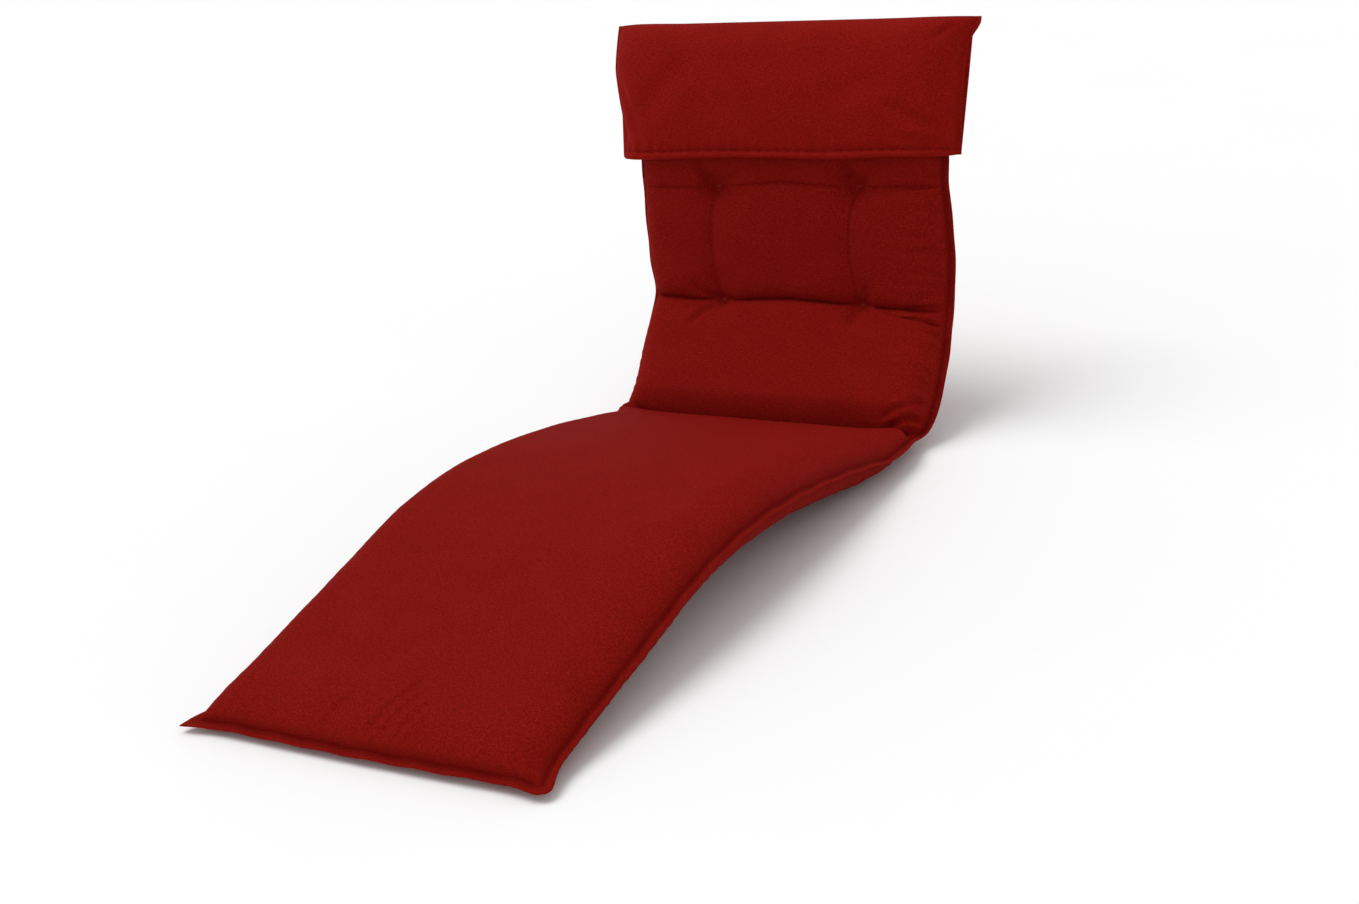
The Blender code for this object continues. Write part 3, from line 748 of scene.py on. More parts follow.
def pad_points(across, along, side):
    """Where the places of the front panel go, or of the back panel where side is -1."""
    half = PAD_WIDTH / 2
    x = across.at * (1 + edge_shift(along.at, across.at) / half * (across.at / half) ** 2)
    x = x + np.copysign(overhung(across.crown, along.crown, SIDE_OVERHANG), x)
    x = x - bowed(along.at, across.at)
    from_corner = np.hypot(half - np.abs(across.at), along.at)
    rounded = np.where(across.at > 0, EAR_ROUND, 0) * near(from_corner, EAR_ROUND_LENGTH)
    x = x - rounded
    filling = front_filling(along.at, across.at) if side > 0 else back_filling(along.at, across.at)
    plug = near(across.at + half, HIP_PLUG_WIDTH) * near(along.at - HIP, HIP_PLUG_WIDTH)
    filling = filling * (1 + HIP_PLUG * plug)
    risen = front_crown(across, along) if side > 0 else across.crown
    arc, crown = along.at, risen * along.crown
    if side > 0:
        arc = arc + (lapped(along.at, across.at) - along.at) * crown
    arc = arc + np.copysign(overhung(along.crown, across.crown, END_OVERHANG), arc - PAD_TOP / 2)
    ear = near(half - np.abs(across.at), EAR_LENGTH) * near(along.at, EAR_LENGTH)
    arc = strayed(arc, across.at) - EAR_FORWARD * ear + rounded
    rim = FLANGE_THICKNESS / 2
    wave = FLANGE_WAVE * np.sin((along.at + x) * FLANGE_WAVE_TURN) * (1 - crown)
    height = side * (rim * np.minimum(across.rim, along.rim) + (filling - rim) * crown)
    curl = FLANGE_CURL * np.clip(1 - along.at / FLANGE_WIDTH, 0, 1) ** 1.5
    points = place(arc, x, height + wave + curl + hip_lift(across, along, side, crown))
    return rolled_into_hip(points, arc, x, filling, crown) if side > 0 else points


def line_rows(line):
    """The rows round a line, down into its slit and up again."""
    below = [line.arc - line.below * share for share in SLIT_ROWS]
    return below + [line.arc] + [line.arc + line.above * share for share in SLIT_ROWS]


def pad_stations():
    """The stations across the pad and along it, close together at the tufts, the slits and the rolls."""
    rims = (0, 1, 1, 1, 1)
    side = rolled_edge(FLANGE_STEPS, rims, SIDE_ROLL)
    end = rolled_edge(FLANGE_STEPS, rims, SOFT_END_ROLL)
    marks = [tuft + step for tuft in (-TUFT_X, TUFT_X) for step in TUFT_COLUMNS]
    columns = across_stations(PAD_WIDTH / 2, side, marks, CLOTH_STEP)
    marks = [arc - PAD_TOP / 2 for line in CREASES for arc in line_rows(line)]
    rows = across_stations(PAD_TOP / 2, end, marks, CLOTH_STEP)
    return columns, [Station(s.at + PAD_TOP / 2, s.rim, s.crown) for s in rows]


def pad_panels():
    """The front and back panels of the pad."""
    columns, rows = pad_stations()
    height = SECTIONS[0].front
    return [
        cloth_panel(columns, rows, height, lambda across, along: pad_points(across, along, side))
        for side in (1, -1)
    ]


def hood_half_width(arc, x):
    """How far the hood's side edges lie from its middle."""
    down = np.clip((PAD_TOP - arc) / (PAD_TOP - HOOD_HEM), 0, 1)
    width = HOOD_TOP_WIDTH / 2 + (HOOD_HEM_WIDTH - HOOD_TOP_WIDTH) / 2 * down
    corner = HOOD_EAR * near(down * (PAD_TOP - HOOD_HEM) - HOOD_EAR_DOWN, HOOD_EAR_LENGTH)
    return width + np.where(x < 0, np.interp(down, HOOD_LEFT_DOWN, HOOD_LEFT_OUT), corner)


def plumb_depth(arc):
    """How far behind the seam the hood's back panel lies, hanging straight down from the pad's top."""
    slope, top_slope = np.interp(arc, ARC, SLOPE), np.interp(PAD_TOP, ARC, SLOPE)
    y, top_y = np.interp(arc, ARC, PROFILE_Y), np.interp(PAD_TOP, ARC, PROFILE_Y)
    return np.maximum((top_y + HOOD_BACK_TOP * math.sin(top_slope) - y) / np.sin(slope), HOOD_BACK_TOP)


def hood_points(across, along, side, wall):
    """Where the places of the hood's outer face go, or of its inner face, one wall further in."""
    half = HOOD_TOP_WIDTH / 2
    share, crown, depth = np.abs(across.at) / half, across.crown, HOOD_FRONT
    if side < 0:
        down = np.clip((PAD_TOP - along.at) / (PAD_TOP - HOOD_HEM), 0, 1)
        share = share ** (1 + HOOD_SPREAD * down)
        crown = crown ** (1 + down)
        depth = plumb_depth(along.at)
    hem = HEM_EXTRA * np.sqrt(np.sin(math.pi * np.clip((along.at - HOOD_HEM) / HEM_HEIGHT, 0, 1)))
    hem = hem - HEM_GROOVE * near(along.at - HEM_SEAM, HEM_GROOVE_WIDTH)
    hem = hem * np.clip(HEM_SIDE_RAMP * across.crown, 0, 1) * (wall == 0)
    rim = FLANGE_THICKNESS / 2
    height = (depth - wall - rim) * crown * along.crown + rim * np.minimum(across.rim, along.rim)
    x = HOOD_SHIFT + np.sign(across.at) * share * hood_half_width(along.at, across.at)
    drop = HEM_DROP * np.sin(x * HEM_DROP_TURN + HEM_DROP_START) * near(along.at - HOOD_HEM, HEM_DROP_REACH)
    return place(strayed(along.at - drop, x), x, side * (height + hem))


def hood_panels(wall):
    """The front and back panels of the hood's outer or inner face."""
    seam = HOOD_SEAM + wall
    if wall:
        edge = rolled_edge((seam,), (0,), HOOD_ROLL)
    else:
        edge = rolled_edge((0.0, 0.0015, seam), (0, 1, 1), HOOD_ROLL)
    columns = across_stations(HOOD_TOP_WIDTH / 2, edge, [], CLOTH_STEP)
    top = PAD_TOP + HOOD_TOP_GAP - wall
    over = rolled_edge((0.0,), (0,), HOOD_TOP_ROLL)
    hem = [HOOD_HEM + HEM_HEIGHT * share for share in HEM_ROWS]
    places = hem[:-1] + filled_in([hem[-1], top - over[-1].at], CLOTH_STEP)[:-1]
    rows = [Station(arc, 1, 1) for arc in places]
    rows += [Station(top - s.at, s.rim, s.crown) for s in reversed(over)]
    return [
        cloth_panel(columns, rows, HOOD_FRONT, lambda across, along: hood_points(across, along, side, wall))
        for side in (1, -1)
    ]


def hood_relief(flat):
    """How far each place of the hood's cloth is lifted along its normal."""
    x, arc, layer = flat.T
    side, inner = np.sign(layer), np.abs(layer) > 1.5
    from_side = HOOD_TOP_WIDTH / 2 - np.abs(x)
    cover = np.clip((from_side - HOOD_SEAM) / HOOD_COVER, 0, 1) * np.clip((PAD_TOP - arc) / HOOD_COVER, 0, 1)
    above_hem = arc - HOOD_HEM - HEM_HEIGHT
    lift = folded(HOOD_FOLDS, arc, np.where(side > 0, x, -x))
    lift += HOOD_UNEVEN * uneven(arc, x, *HOOD_STRETCH)
    lift *= cover * np.clip(above_hem / HOOD_COVER, 0, 1)
    gather = GATHER_DEPTH * np.sin(x * GATHER_TURN + GATHER_STRAY * np.sin(x * GATHER_STRAY_TURN))
    lift += gather * near(above_hem - GATHER_UP, GATHER_REACH) * cover
    return np.where(inner, -lift, lift)


# Materials


def add_node(tree, kind, place, inputs=(), **settings):
    """A new node at this place, with its settings, and its inputs linked or set."""
    node = tree.nodes.new(kind)
    node.location = place
    for name, value in settings.items():
        setattr(node, name, value)
    for name, value in dict(inputs).items():
        if isinstance(value, bpy.types.NodeSocket):
            tree.links.new(value, node.inputs[name])
        else:
            node.inputs[name].default_value = value
    return node


def math_node(tree, operation, place, first, second=0.5, clamp=False):
    node = add_node(tree, "ShaderNodeMath", place, {0: first, 1: second}, operation=operation)
    node.use_clamp = clamp
    return node.outputs["Value"]


def mix_node(tree, kind, place, factor, first, second):
    """A blend of two values, or of two colours where the kind is RGBA."""
    inputs = {"Factor": factor, "A": first, "B": second}
    node = add_node(tree, "ShaderNodeMix", place, inputs, data_type=kind)
    return node.outputs[2 if kind == "RGBA" else 0]


def noise_node(tree, place, vector, scale, detail, roughness=0.5):
    inputs = {"Vector": vector, "Scale": scale, "Detail": detail, "Roughness": roughness}
    return add_node(tree, "ShaderNodeTexNoise", place, inputs).outputs["Fac"]


def moved_node(tree, place, vector, **inputs):
    """The place moved or stretched, as a vector."""
    node = add_node(tree, "ShaderNodeMapping", place, {"Vector": vector, **inputs})
    return node.outputs["Vector"]


def finish_surface(tree, shader, colour, value, rough, height, distance, strength):
    """Links a colour, a roughness that runs with the value, and a relief of this height to the shader."""
    low, high = rough
    spread = add_node(
        tree, "ShaderNodeMapRange", (-350, 0), {"Value": value, "To Min": low, "To Max": high}
    )
    inputs = {"Height": height, "Distance": distance, "Strength": strength}
    relief = add_node(tree, "ShaderNodeBump", (-200, -300), inputs)
    tree.links.new(colour, shader.inputs["Base Color"])
    tree.links.new(spread.outputs["Result"], shader.inputs["Roughness"])
    tree.links.new(relief.outputs["Normal"], shader.inputs["Normal"])


def new_material(name):
    """A new material with its node tree and its shader."""
    material = bpy.data.materials.new(name)
    material.use_nodes = True
    return material, material.node_tree, material.node_tree.nodes["Principled BSDF"]


def new_group(name, inputs, outputs):
    """An empty shader node group with named inputs and outputs, and its input and output nodes."""
    group = bpy.data.node_groups.new(name, "ShaderNodeTree")
    for socket, kind, default in inputs:
        made = group.interface.new_socket(socket, in_out="INPUT", socket_type=kind)
        if default is not None:
            made.default_value = default
    for socket, kind in outputs:
        group.interface.new_socket(socket, in_out="OUTPUT", socket_type=kind)
    start = add_node(group, "NodeGroupInput", (-1200, 0))
    end = add_node(group, "NodeGroupOutput", (900, 0))
    return group, start.outputs, end


def weave_group():
    """Plain weave from a place in the cloth: the yarns' height, and which of the two systems is on top."""
    group, given, end = new_group(
        "plain_weave",
        [("Place", "NodeSocketVector", None), ("Pitch", "NodeSocketFloat", 0.0007)],
        [("Height", "NodeSocketFloat"), ("Warp On Top", "NodeSocketFloat")],
    )
    split = add_node(group, "ShaderNodeSeparateXYZ", (-1000, 0), {0: given["Place"]})
    yarns, counts = [], []
    for axis, y in (("X", 150), ("Y", -150)):
        count = math_node(group, "DIVIDE", (-800, y), split.outputs[axis], given["Pitch"])
        turn = math_node(group, "MULTIPLY", (-650, y), count, math.pi)
        wave = math_node(group, "SINE", (-500, y), turn)
        yarns.append(math_node(group, "ABSOLUTE", (-350, y), wave))
        counts.append(math_node(group, "FLOOR", (-650, 2 * y), count))
    both = math_node(group, "ADD", (-450, 350), *counts)
    parity = math_node(group, "PINGPONG", (-250, 350), both, 1.0)
    warp, weft = yarns
    group.links.new(mix_node(group, "FLOAT", (200, 0), parity, weft, warp), end.inputs["Height"])
    group.links.new(parity, end.inputs["Warp On Top"])
    return group


def melange_group():
    """Yarn to yarn unevenness of the dye: a main colour broken by darker and lighter short lengths."""
    group, given, end = new_group(
        "melange_yarn",
        [
            ("Place", "NodeSocketVector", None),
            ("Colour", "NodeSocketColor", (0.2, 0.01, 0.01, 1)),
            ("Dark", "NodeSocketColor", (0.1, 0.0, 0.0, 1)),
            ("Light", "NodeSocketColor", (0.3, 0.03, 0.02, 1)),
            ("Strength", "NodeSocketFloat", 0.5),
            ("Warp On Top", "NodeSocketFloat", 0.5),
        ],
        [("Colour", "NodeSocketColor"), ("Mottle", "NodeSocketFloat")],
    )
    streaks = []
    for y, stretch in ((300, (FINE_STREAK, LONG_STREAK, 1.0)), (0, (LONG_STREAK, FINE_STREAK, 1.0))):
        place = moved_node(group, (-1000, y), given["Place"], Scale=stretch)
        streaks.append(noise_node(group, (-800, y), place, 1.0, 2.0, 0.6))
    yarns = mix_node(group, "FLOAT", (-550, 150), given["Warp On Top"], streaks[1], streaks[0])
    speckle = noise_node(group, (-800, -350), given["Place"], SPECKLE_SCALE, 3.0, 0.65)
    cloud = noise_node(group, (-800, -600), given["Place"], CLOUD_SCALE, 2.0)
    cloud = math_node(group, "SUBTRACT", (-650, -600), cloud, 0.5)
    cloud = math_node(group, "MULTIPLY", (-500, -600), cloud, CLOUD_SHARE)
    both = math_node(group, "ADD", (-350, 0), yarns, speckle)
    both = math_node(group, "ADD", (-200, -100), both, cloud)
    centred = math_node(group, "SUBTRACT", (-50, 0), both, 1.0)
    mottle = math_node(group, "MULTIPLY", (100, 0), centred, given["Strength"])
    darker = math_node(group, "MULTIPLY", (250, 150), mottle, -MOTTLE_GAIN, clamp=True)
    lighter = math_node(group, "MULTIPLY", (250, -150), mottle, MOTTLE_GAIN, clamp=True)
    shade = mix_node(group, "RGBA", (450, 100), darker, given["Colour"], given["Dark"])
    tint = mix_node(group, "RGBA", (650, 0), lighter, shade, given["Light"])
    group.links.new(tint, end.inputs["Colour"])
    group.links.new(mottle, end.inputs["Mottle"])
    return group


def shared_group(name, make):
    return bpy.data.node_groups.get(name) or make()


def cloth_material(name, cloth, painted_light, offset):
    """Matte woven cloth with uneven yarns, its colour times a painted light factor: above 1 it paints the
    piece paler, as painted light. The offset moves its pattern, so that no two pieces match."""
    material, tree, shader = new_material(name)
    source = add_node(tree, "ShaderNodeAttribute", (-1300, 0), attribute_name="weave_place")
    place = moved_node(tree, (-1100, 0), source.outputs["Vector"], Location=offset)
    weave = shared_group("plain_weave", weave_group)
    inputs = {"Place": place, "Pitch": cloth.pitch}
    weave = add_node(tree, "ShaderNodeGroup", (-850, -250), node_tree=weave, inputs=inputs)
    inputs = {"Place": place, "Strength": cloth.mottle, "Warp On Top": weave.outputs["Warp On Top"]}
    # Above 1, as on the hood, the factor paints the cloth's colour paler: painted light.
    inputs["Colour"] = (*[c * painted_light for c in cloth.colour], 1)
    inputs["Dark"], inputs["Light"] = (*cloth.dark, 1), (*cloth.light, 1)
    yarn = shared_group("melange_yarn", melange_group)
    yarn = add_node(tree, "ShaderNodeGroup", (-600, 150), node_tree=yarn, inputs=inputs)
    height = math_node(tree, "ADD", (-350, -300), weave.outputs["Height"], yarn.outputs["Mottle"])
    finish_surface(
        tree, shader, yarn.outputs["Colour"], weave.outputs["Height"], CLOTH_ROUGH, height,
        cloth.pitch * YARN_RISE, cloth.bump,
    )
    shader.inputs["Sheen Weight"].default_value = cloth.sheen
    shader.inputs["Sheen Roughness"].default_value = 0.5
    shader.inputs["Sheen Tint"].default_value = (*SHEEN_TINT, 1)
    shader.inputs["Specular IOR Level"].default_value = 0.04
    return material


def thread_material(name, colour, twist):
    """Twisted thread: fine slanted bands across it, painted darker where they lie low as painted shade in
    the grooves, a little shine.
    """
    material, tree, shader = new_material(name)
    source = add_node(tree, "ShaderNodeTexCoord", (-900, 0))
    inputs = {"Vector": source.outputs["Object"], "Scale": twist, "Distortion": 1.5, "Detail": 1.0}
    bands = add_node(tree, "ShaderNodeTexWave", (-700, 0), inputs, bands_direction="DIAGONAL")
    bands = bands.outputs["Fac"]
    # The low bands of the twist get a darker colour: painted shade in its grooves.
    valley = (*[c * THREAD_GROOVE_PAINTED_SHADE for c in colour], 1)
    shade = mix_node(tree, "RGBA", (-350, 250), bands, valley, (*colour, 1))
    finish_surface(tree, shader, shade, bands, THREAD_ROUGH, bands, THREAD_RISE, 0.5)
    shader.inputs["Specular IOR Level"].default_value = 0.15
    return material


def floor_material(colour):
    """Plain pale floor, with a faint unevenness so that it isn't dead flat."""
    material, tree, shader = new_material("pale_floor")
    source = add_node(tree, "ShaderNodeTexCoord", (-900, 0))
    noise = noise_node(tree, (-700, 0), source.outputs["Object"], 2.5, 3.0)
    darker = (*[c * FLOOR_SHADE for c in colour], 1)
    shade = mix_node(tree, "RGBA", (-350, 0), noise, (*colour, 1), darker)
    tree.links.new(shade, shader.inputs["Base Color"])
    shader.inputs["Roughness"].default_value = 0.8
    return material


# Threads


def tube(mesh, points, normals, radius, sides):
    """Adds a closed thread through these points, pinched to a blunt tip at both ends."""
    rings = []
    last = len(points) - 1
    for i, (point, normal) in enumerate(zip(points, normals)):
        forward = (points[min(i + 1, last)] - points[max(i - 1, 0)]).normalized()
        side = forward.cross(normal).normalized()
        up = side.cross(forward)
        size = radius * (THREAD_TIP if i in (0, last) else 1.0)
        ring = []
        for k in range(sides):
            turn = 2 * math.pi * k / sides
            ring.append(mesh.verts.new(point + (side * math.cos(turn) + up * math.sin(turn)) * size))
        rings.append(ring)
    for low, high in zip(rings, rings[1:]):
        for k in range(sides):
            mesh.faces.new((low[k], low[(k + 1) % sides], high[(k + 1) % sides], high[k]))
    mesh.faces.new(rings[0][::-1])
    mesh.faces.new(rings[-1])


def linked_piece(name, mesh):
    """The mesh as an object of its own in the scene."""
    data = bpy.data.meshes.new(name)
    mesh.to_mesh(data)
    mesh.free()
    piece = bpy.data.objects.new(name, data)
    bpy.context.scene.collection.objects.link(piece)
    return piece


def thread_piece(name, mesh):
    bmesh.ops.recalc_face_normals(mesh, faces=mesh.faces)
    return linked_piece(name, mesh)


def stitched_line(mesh, surface, route):
    """Adds a row of stitches along the route, lying in the cloth's surface."""
    points = [Vector(p) for p in route]
    lengths = np.concatenate([[0], np.cumsum([(b - a).length for a, b in zip(points, points[1:])])])
    flat = np.array([tuple(p) for p in points])
    count = int(lengths[-1] // (STITCH_LENGTH + STITCH_GAP))
    pitch = lengths[-1] / count
    for i in range(count):
        spots, ups = [], []
        for k, rise in enumerate(STITCH_RISE):
            at = (i + STITCH_START) * pitch + k / (len(STITCH_RISE) - 1) * STITCH_LENGTH
            spot = Vector([np.interp(at, lengths, flat[:, axis]) for axis in range(3)])
            found, normal, _, _ = surface.find_nearest(spot)
            spots.append(found + normal * STITCH_RADIUS * rise)
            ups.append(normal)
        tube(mesh, spots, ups, STITCH_RADIUS, STITCH_SIDES)


def surface_of(piece):
    graph = bpy.context.evaluated_depsgraph_get()
    return BVHTree.FromObject(piece, graph)


def flange_route(side):
    """The line of topstitching round the pad, on its front flange or its back one."""
    low, high = STITCH_INSET, PAD_TOP - STITCH_INSET
    edge = PAD_WIDTH / 2 - STITCH_INSET
    corners = ((-edge, low), (edge, low), (edge, high), (-edge, high), (-edge, low))
    x, arc = [], []
    for (x0, arc0), (x1, arc1) in zip(corners, corners[1:]):
        steps = max(int(math.hypot(x1 - x0, arc1 - arc0) / ROUTE_STEP), 2)
        x += list(np.linspace(x0, x1, steps, endpoint=False))
        arc += list(np.linspace(arc0, arc1, steps, endpoint=False))
    x, arc = np.array(x + [x[0]]), np.array(arc + [arc[0]])
    across = Station(x, np.ones_like(x), np.zeros_like(x))
    along = Station(arc, np.ones_like(x), np.zeros_like(x))
    return pad_points(across, along, side)


def hem_route(side):
    """The line of topstitching along the hood's hem, in front or behind."""
    x = np.linspace(-0.5, 0.5, HEM_ROUTE_SPOTS) * (HOOD_TOP_WIDTH - 2 * HEM_ROUTE_INSET)
    ones = np.ones_like(x)
    share = np.clip((HOOD_TOP_WIDTH / 2 - HOOD_SEAM - np.abs(x)) / HOOD_ROLL, 0, 1)
    crown = np.sin(np.arccos(1 - share))
    return hood_points(Station(x, ones, crown), Station(ones * HEM_SEAM, ones, ones), side, 0)


def strand_points(middle, slope, out, offset, tilt, bow):
    """One strand of a tack: across the tuft, sunk into the cloth at both ends."""
    up = Vector((0, math.cos(slope), math.sin(slope)))
    points = []
    for share in np.linspace(-0.5, 0.5, STRAND_SPOTS):
        along = share * TACK_LENGTH
        rise = STRAND_RADIUS * (bow - STRAND_END_DROP * abs(2 * share) ** 3)
        points.append(middle + Vector((along, 0, 0)) + up * (offset + tilt * along) + out * rise)
    return points


# What a user would change


class PadSettings(bpy.types.PropertyGroup):
    """The pad's filling and wrinkles"""

    fill: FloatProperty(
        name="Filling", description="How full the pad is, from slack to tight", default=0.7, min=0, max=1,
        subtype="FACTOR",
    )
    wrinkles: FloatProperty(
        name="Wrinkles", description="How deep creases, puckers and unevenness are", default=1.25,
        min=0, max=2, subtype="FACTOR",
    )


class ClothSettings(bpy.types.PropertyGroup):
    """The woven cloth of pad and hood, and the threads"""

    colour: FloatVectorProperty(
        name="Cloth colour", description="Main colour of the woven cloth", default=(0.192, 0.0042, 0.0020),
        size=3, min=0, max=1, subtype="COLOR",
    )
    dark: FloatVectorProperty(
        name="Dark yarn", description="Colour of the darkest lengths of yarn",
        default=(0.075, 0.0008, 0.0006), size=3, min=0, max=1, subtype="COLOR",
    )
    light: FloatVectorProperty(
        name="Light yarn", description="Colour of the lightest lengths of yarn",
        default=(0.330, 0.012, 0.007), size=3, min=0, max=1, subtype="COLOR",
    )
    pitch: FloatProperty(
        name="Yarn spacing", description="Distance from one yarn to the next", default=0.0008, min=0.0002,
        max=0.005, unit="LENGTH",
    )
    mottle: FloatProperty(
        name="Mottle", description="How uneven the yarns' dye is", default=0.8, min=0, max=1,
        subtype="FACTOR",
    )
    bump: FloatProperty(
        name="Weave relief", description="How strongly the weave is felt", default=0.45, min=0, max=1,
        subtype="FACTOR",
    )
    sheen: FloatProperty(
        name="Sheen", description="How much light the fibre ends catch", default=0.12, min=0, max=1,
        subtype="FACTOR",
    )
    thread: FloatVectorProperty(
        name="Tuft thread", description="Colour of the thread in the tufts", default=(0.240, 0.018, 0.012),
        size=3, min=0, max=1, subtype="COLOR",
    )


class StageSettings(bpy.types.PropertyGroup):
    """The floor, the light and the camera"""

    floor: FloatVectorProperty(
        name="Floor colour", description="Colour of the plain floor", default=(0.93, 0.93, 0.93), size=3,
        min=0, max=1, subtype="COLOR",
    )
    sky: FloatProperty(
        name="Soft light", description="Strength of the even light all round", default=0.68, min=0,
    )
    key: FloatProperty(
        name="Main light", description="Strength of the soft light from the upper left", default=1.42, min=0,
    )
    softness: FloatProperty(
        name="Softness", description="How wide the main light is seen, so how soft its shadows are",
        default=math.radians(42), min=0, max=math.pi, subtype="ANGLE",
    )
    lens: FloatProperty(
        name="Lens", description="Focal length of the camera", default=50.02, min=10, max=200, unit="CAMERA",
    )


def settings():
    scene = bpy.context.scene
    return scene.cushion_pad, scene.cushion_cloth, scene.cushion_stage


def dress(piece, material, slot, *nodes):
    """Gives the piece its material and its body, and hides the nodes that it stands for. The slot is not
    used.
    """
    piece.data.shade_smooth()
    piece.data.materials.clear()
    piece.data.materials.append(material)
    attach(piece, "root")
    if nodes:
        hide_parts(*nodes)


class CUSHION_OT_pad(bpy.types.Operator):
    """Makes the filled pad with its flange, tufts, channels and creases"""

    bl_idname = "cushion.make_pad"
    bl_label = "Make the pad"

    def execute(self, context):
        pad, cloth, _ = settings()
        piece = sewn("filled_pad", pad_panels(), (1, -1))
        subdivided(piece, 1)
        lifted(piece, lambda flat: pad_relief(flat) * pad.wrinkles)
        material = cloth_material("pad_cloth", cloth, 1, (0, 0, 0))
        dress(piece, material, "pad_cloth", "pad")
        return {"FINISHED"}


class CUSHION_OT_hood(bpy.types.Operator):
    """Makes the cloth hood with its hem"""

    bl_idname = "cushion.make_hood"
    bl_label = "Make the hood"

    def execute(self, context):
        pad, cloth, _ = settings()
        piece = sewn("cloth_hood", hood_panels(0) + hood_panels(HOOD_WALL), (1, -1, 2, -2))
        subdivided(piece, 1)
        lifted(piece, lambda flat: hood_relief(flat) * pad.wrinkles)
        # The hood's cloth is painted paler than the pad's, as painted light for the stronger light on its
        # front.
        material = cloth_material("hood_cloth", cloth, HOOD_PAINTED_LIGHT, HOOD_WEAVE_OFFSET)
        dress(piece, material, "hood_cloth", "hood")
        return {"FINISHED"}


class CUSHION_OT_tacks(bpy.types.Operator):
    """Makes the short bundles of thread that hold the tufts, in front and behind"""

    bl_idname = "cushion.make_tacks"
    bl_label = "Make the tuft threads"

    def execute(self, context):
        _, cloth, _ = settings()
        material = thread_material("tuft_thread", cloth.thread, TUFT_TWIST)
        rng = np.random.default_rng(TACK_SEED)
        for node in sorted(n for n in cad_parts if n.startswith("tack_")):
            low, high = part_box(node)
            arc = LOWER_TUFTS if node[-1] in "12" else UPPER_TUFTS
            slope = float(np.interp(arc, ARC, SLOPE))
            out = Vector((0, -math.sin(slope), math.cos(slope))) * (1 if "front" in node else -1)
            mesh = bmesh.new()
            for i in range(TACK_STRANDS):
                offset = (i - (TACK_STRANDS - 1) / 2) * STRAND_SPACING
                tilt, bow = rng.uniform(-STRAND_TILT, STRAND_TILT), rng.uniform(*STRAND_BOW)
                points = strand_points((low + high) / 2, slope, out, offset, tilt, bow)
                tube(mesh, points, [out] * STRAND_SPOTS, STRAND_RADIUS, STRAND_SIDES)
            dress(thread_piece(f"{node}_threads", mesh), material, "thread", node)
        return {"FINISHED"}


class CUSHION_OT_stitching(bpy.types.Operator):
    """Makes the topstitching round the pad's flange and along the hood's hem"""

    bl_idname = "cushion.make_stitching"
    bl_label = "Make the topstitching"

    def execute(self, context):
        _, cloth, _ = settings()
        colour = [c * TOPSTITCH_SHADE for c in cloth.colour]
        material = thread_material("topstitch_thread", colour, TOPSTITCH_TWIST)
        for name, cloth_piece, slot, route in (
            ("flange_topstitching", "filled_pad", "pad_cloth", flange_route),
            ("hem_topstitching", "cloth_hood", "hood_cloth", hem_route),
        ):
            surface = surface_of(bpy.data.objects[cloth_piece])
            mesh = bmesh.new()
            for side in (1, -1):
                stitched_line(mesh, surface, route(side))
            dress(thread_piece(name, mesh), material, slot)
        return {"FINISHED"}


def plain_floor(stage):
    mesh = bmesh.new()
    bmesh.ops.create_grid(mesh, x_segments=2, y_segments=2, size=FLOOR_SIZE / 2)
    bmesh.ops.translate(mesh, vec=(0, 0, -FLOOR_DROP), verts=mesh.verts)
    floor = linked_piece("floor", mesh)
    floor.data.materials.append(floor_material(stage.floor))


def soft_light(scene, stage):
    world = bpy.data.worlds.new("soft_studio")
    world.use_nodes = True
    background = world.node_tree.nodes["Background"]
    background.inputs["Color"].default_value = (1, 1, 1, 1)
    background.inputs["Strength"].default_value = stage.sky
    scene.world = world
    lamp = bpy.data.lights.new("main_light", "SUN")
    lamp.energy = stage.key
    lamp.angle = stage.softness
    made = bpy.data.objects.new("main_light", lamp)
    made.location = LIGHT_FROM
    made.rotation_euler = (-Vector(LIGHT_FROM)).to_track_quat("-Z", "Y").to_euler()
    scene.collection.objects.link(made)


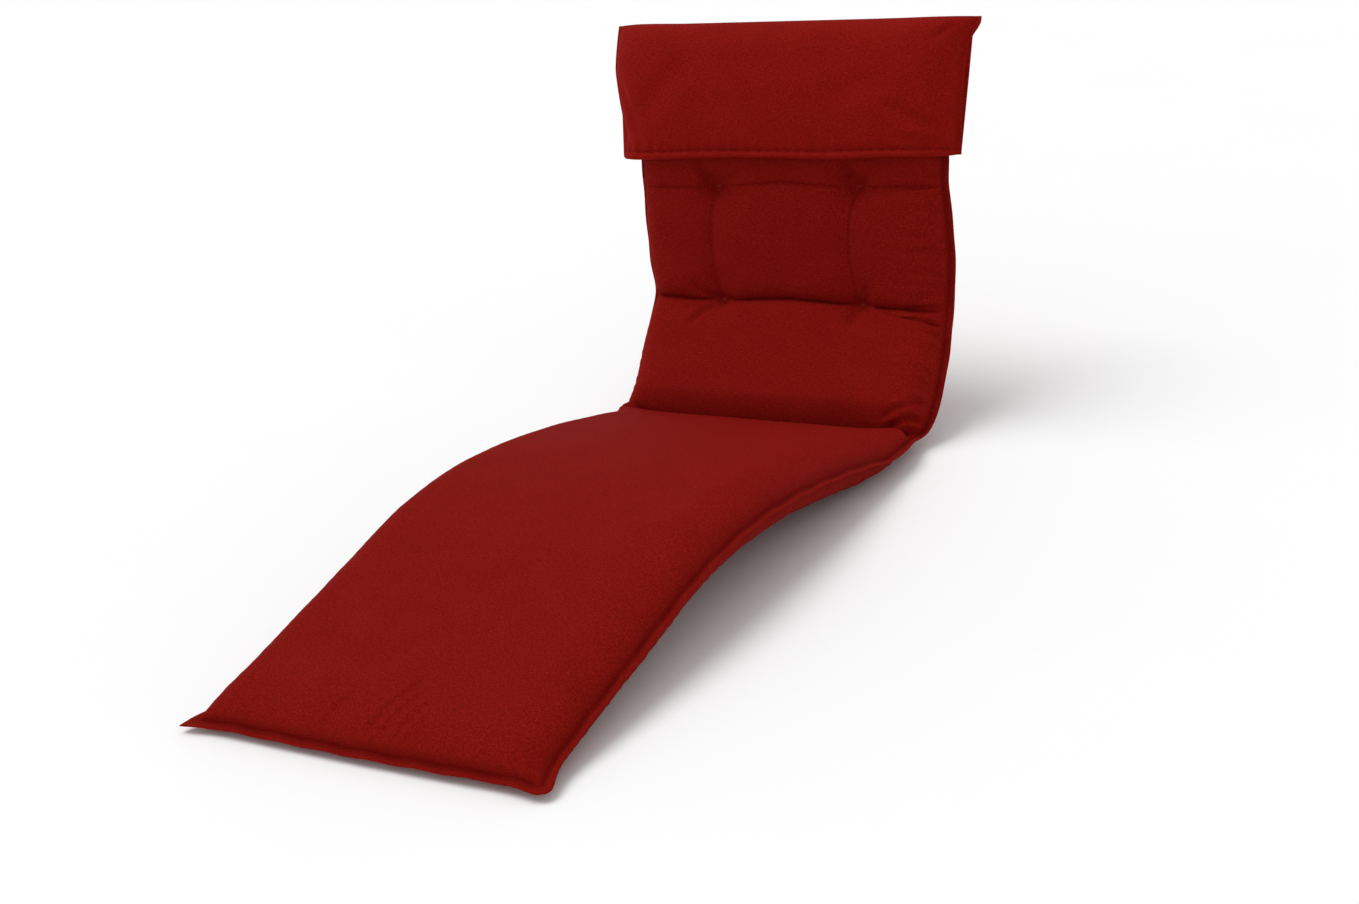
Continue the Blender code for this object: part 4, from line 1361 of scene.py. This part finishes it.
def photo_camera(scene, stage):
    lens = bpy.data.cameras.new("camera")
    lens.lens = stage.lens
    lens.sensor_width = SENSOR_WIDTH
    camera = bpy.data.objects.new("camera", lens)
    camera.location = CAMERA_PLACE
    aim = (Vector(CAMERA_AIM) - camera.location).to_track_quat("-Z", "Y")
    roll = Matrix.Rotation(math.radians(CAMERA_ROLL), 3, "Z").to_quaternion()
    camera.rotation_mode = "QUATERNION"
    camera.rotation_quaternion = aim @ roll
    scene.collection.objects.link(camera)
    scene.camera = camera


class CUSHION_OT_stage(bpy.types.Operator):
    """Makes the plain floor, the soft light and the camera"""

    bl_idname = "cushion.make_stage"
    bl_label = "Make the stage"

    def execute(self, context):
        _, _, stage = settings()
        plain_floor(stage)
        soft_light(context.scene, stage)
        photo_camera(context.scene, stage)
        context.scene.view_settings.view_transform = "Standard"
        return {"FINISHED"}


OPERATORS = (CUSHION_OT_pad, CUSHION_OT_hood, CUSHION_OT_tacks, CUSHION_OT_stitching, CUSHION_OT_stage)


class CUSHION_PT_parts(bpy.types.Panel):
    """Lists the cushion's settings and the steps that make it"""

    bl_label = "Relax chair cushion"
    bl_space_type = "VIEW_3D"
    bl_region_type = "UI"
    bl_category = "Cushion"

    def draw(self, context):
        for group in settings():
            box = self.layout.box()
            for name in type(group).__annotations__:
                box.prop(group, name)
        for operator in OPERATORS:
            self.layout.operator(operator.bl_idname)


CLASSES = (PadSettings, ClothSettings, StageSettings, *OPERATORS, CUSHION_PT_parts)
GROUPS = {"cushion_pad": PadSettings, "cushion_cloth": ClothSettings, "cushion_stage": StageSettings}


def register():
    for item in CLASSES:
        bpy.utils.register_class(item)
    for name, group in GROUPS.items():
        setattr(bpy.types.Scene, name, PointerProperty(type=group))


def unregister():
    for name in GROUPS:
        delattr(bpy.types.Scene, name)
    for item in reversed(CLASSES):
        bpy.utils.unregister_class(item)


def main():
    register()
    bpy.ops.cushion.make_stage()
    bpy.ops.cushion.make_pad()
    bpy.ops.cushion.make_hood()
    bpy.ops.cushion.make_tacks()
    bpy.ops.cushion.make_stitching()
    bpy.context.view_layer.update()


if __name__ == "__main__":
    main()
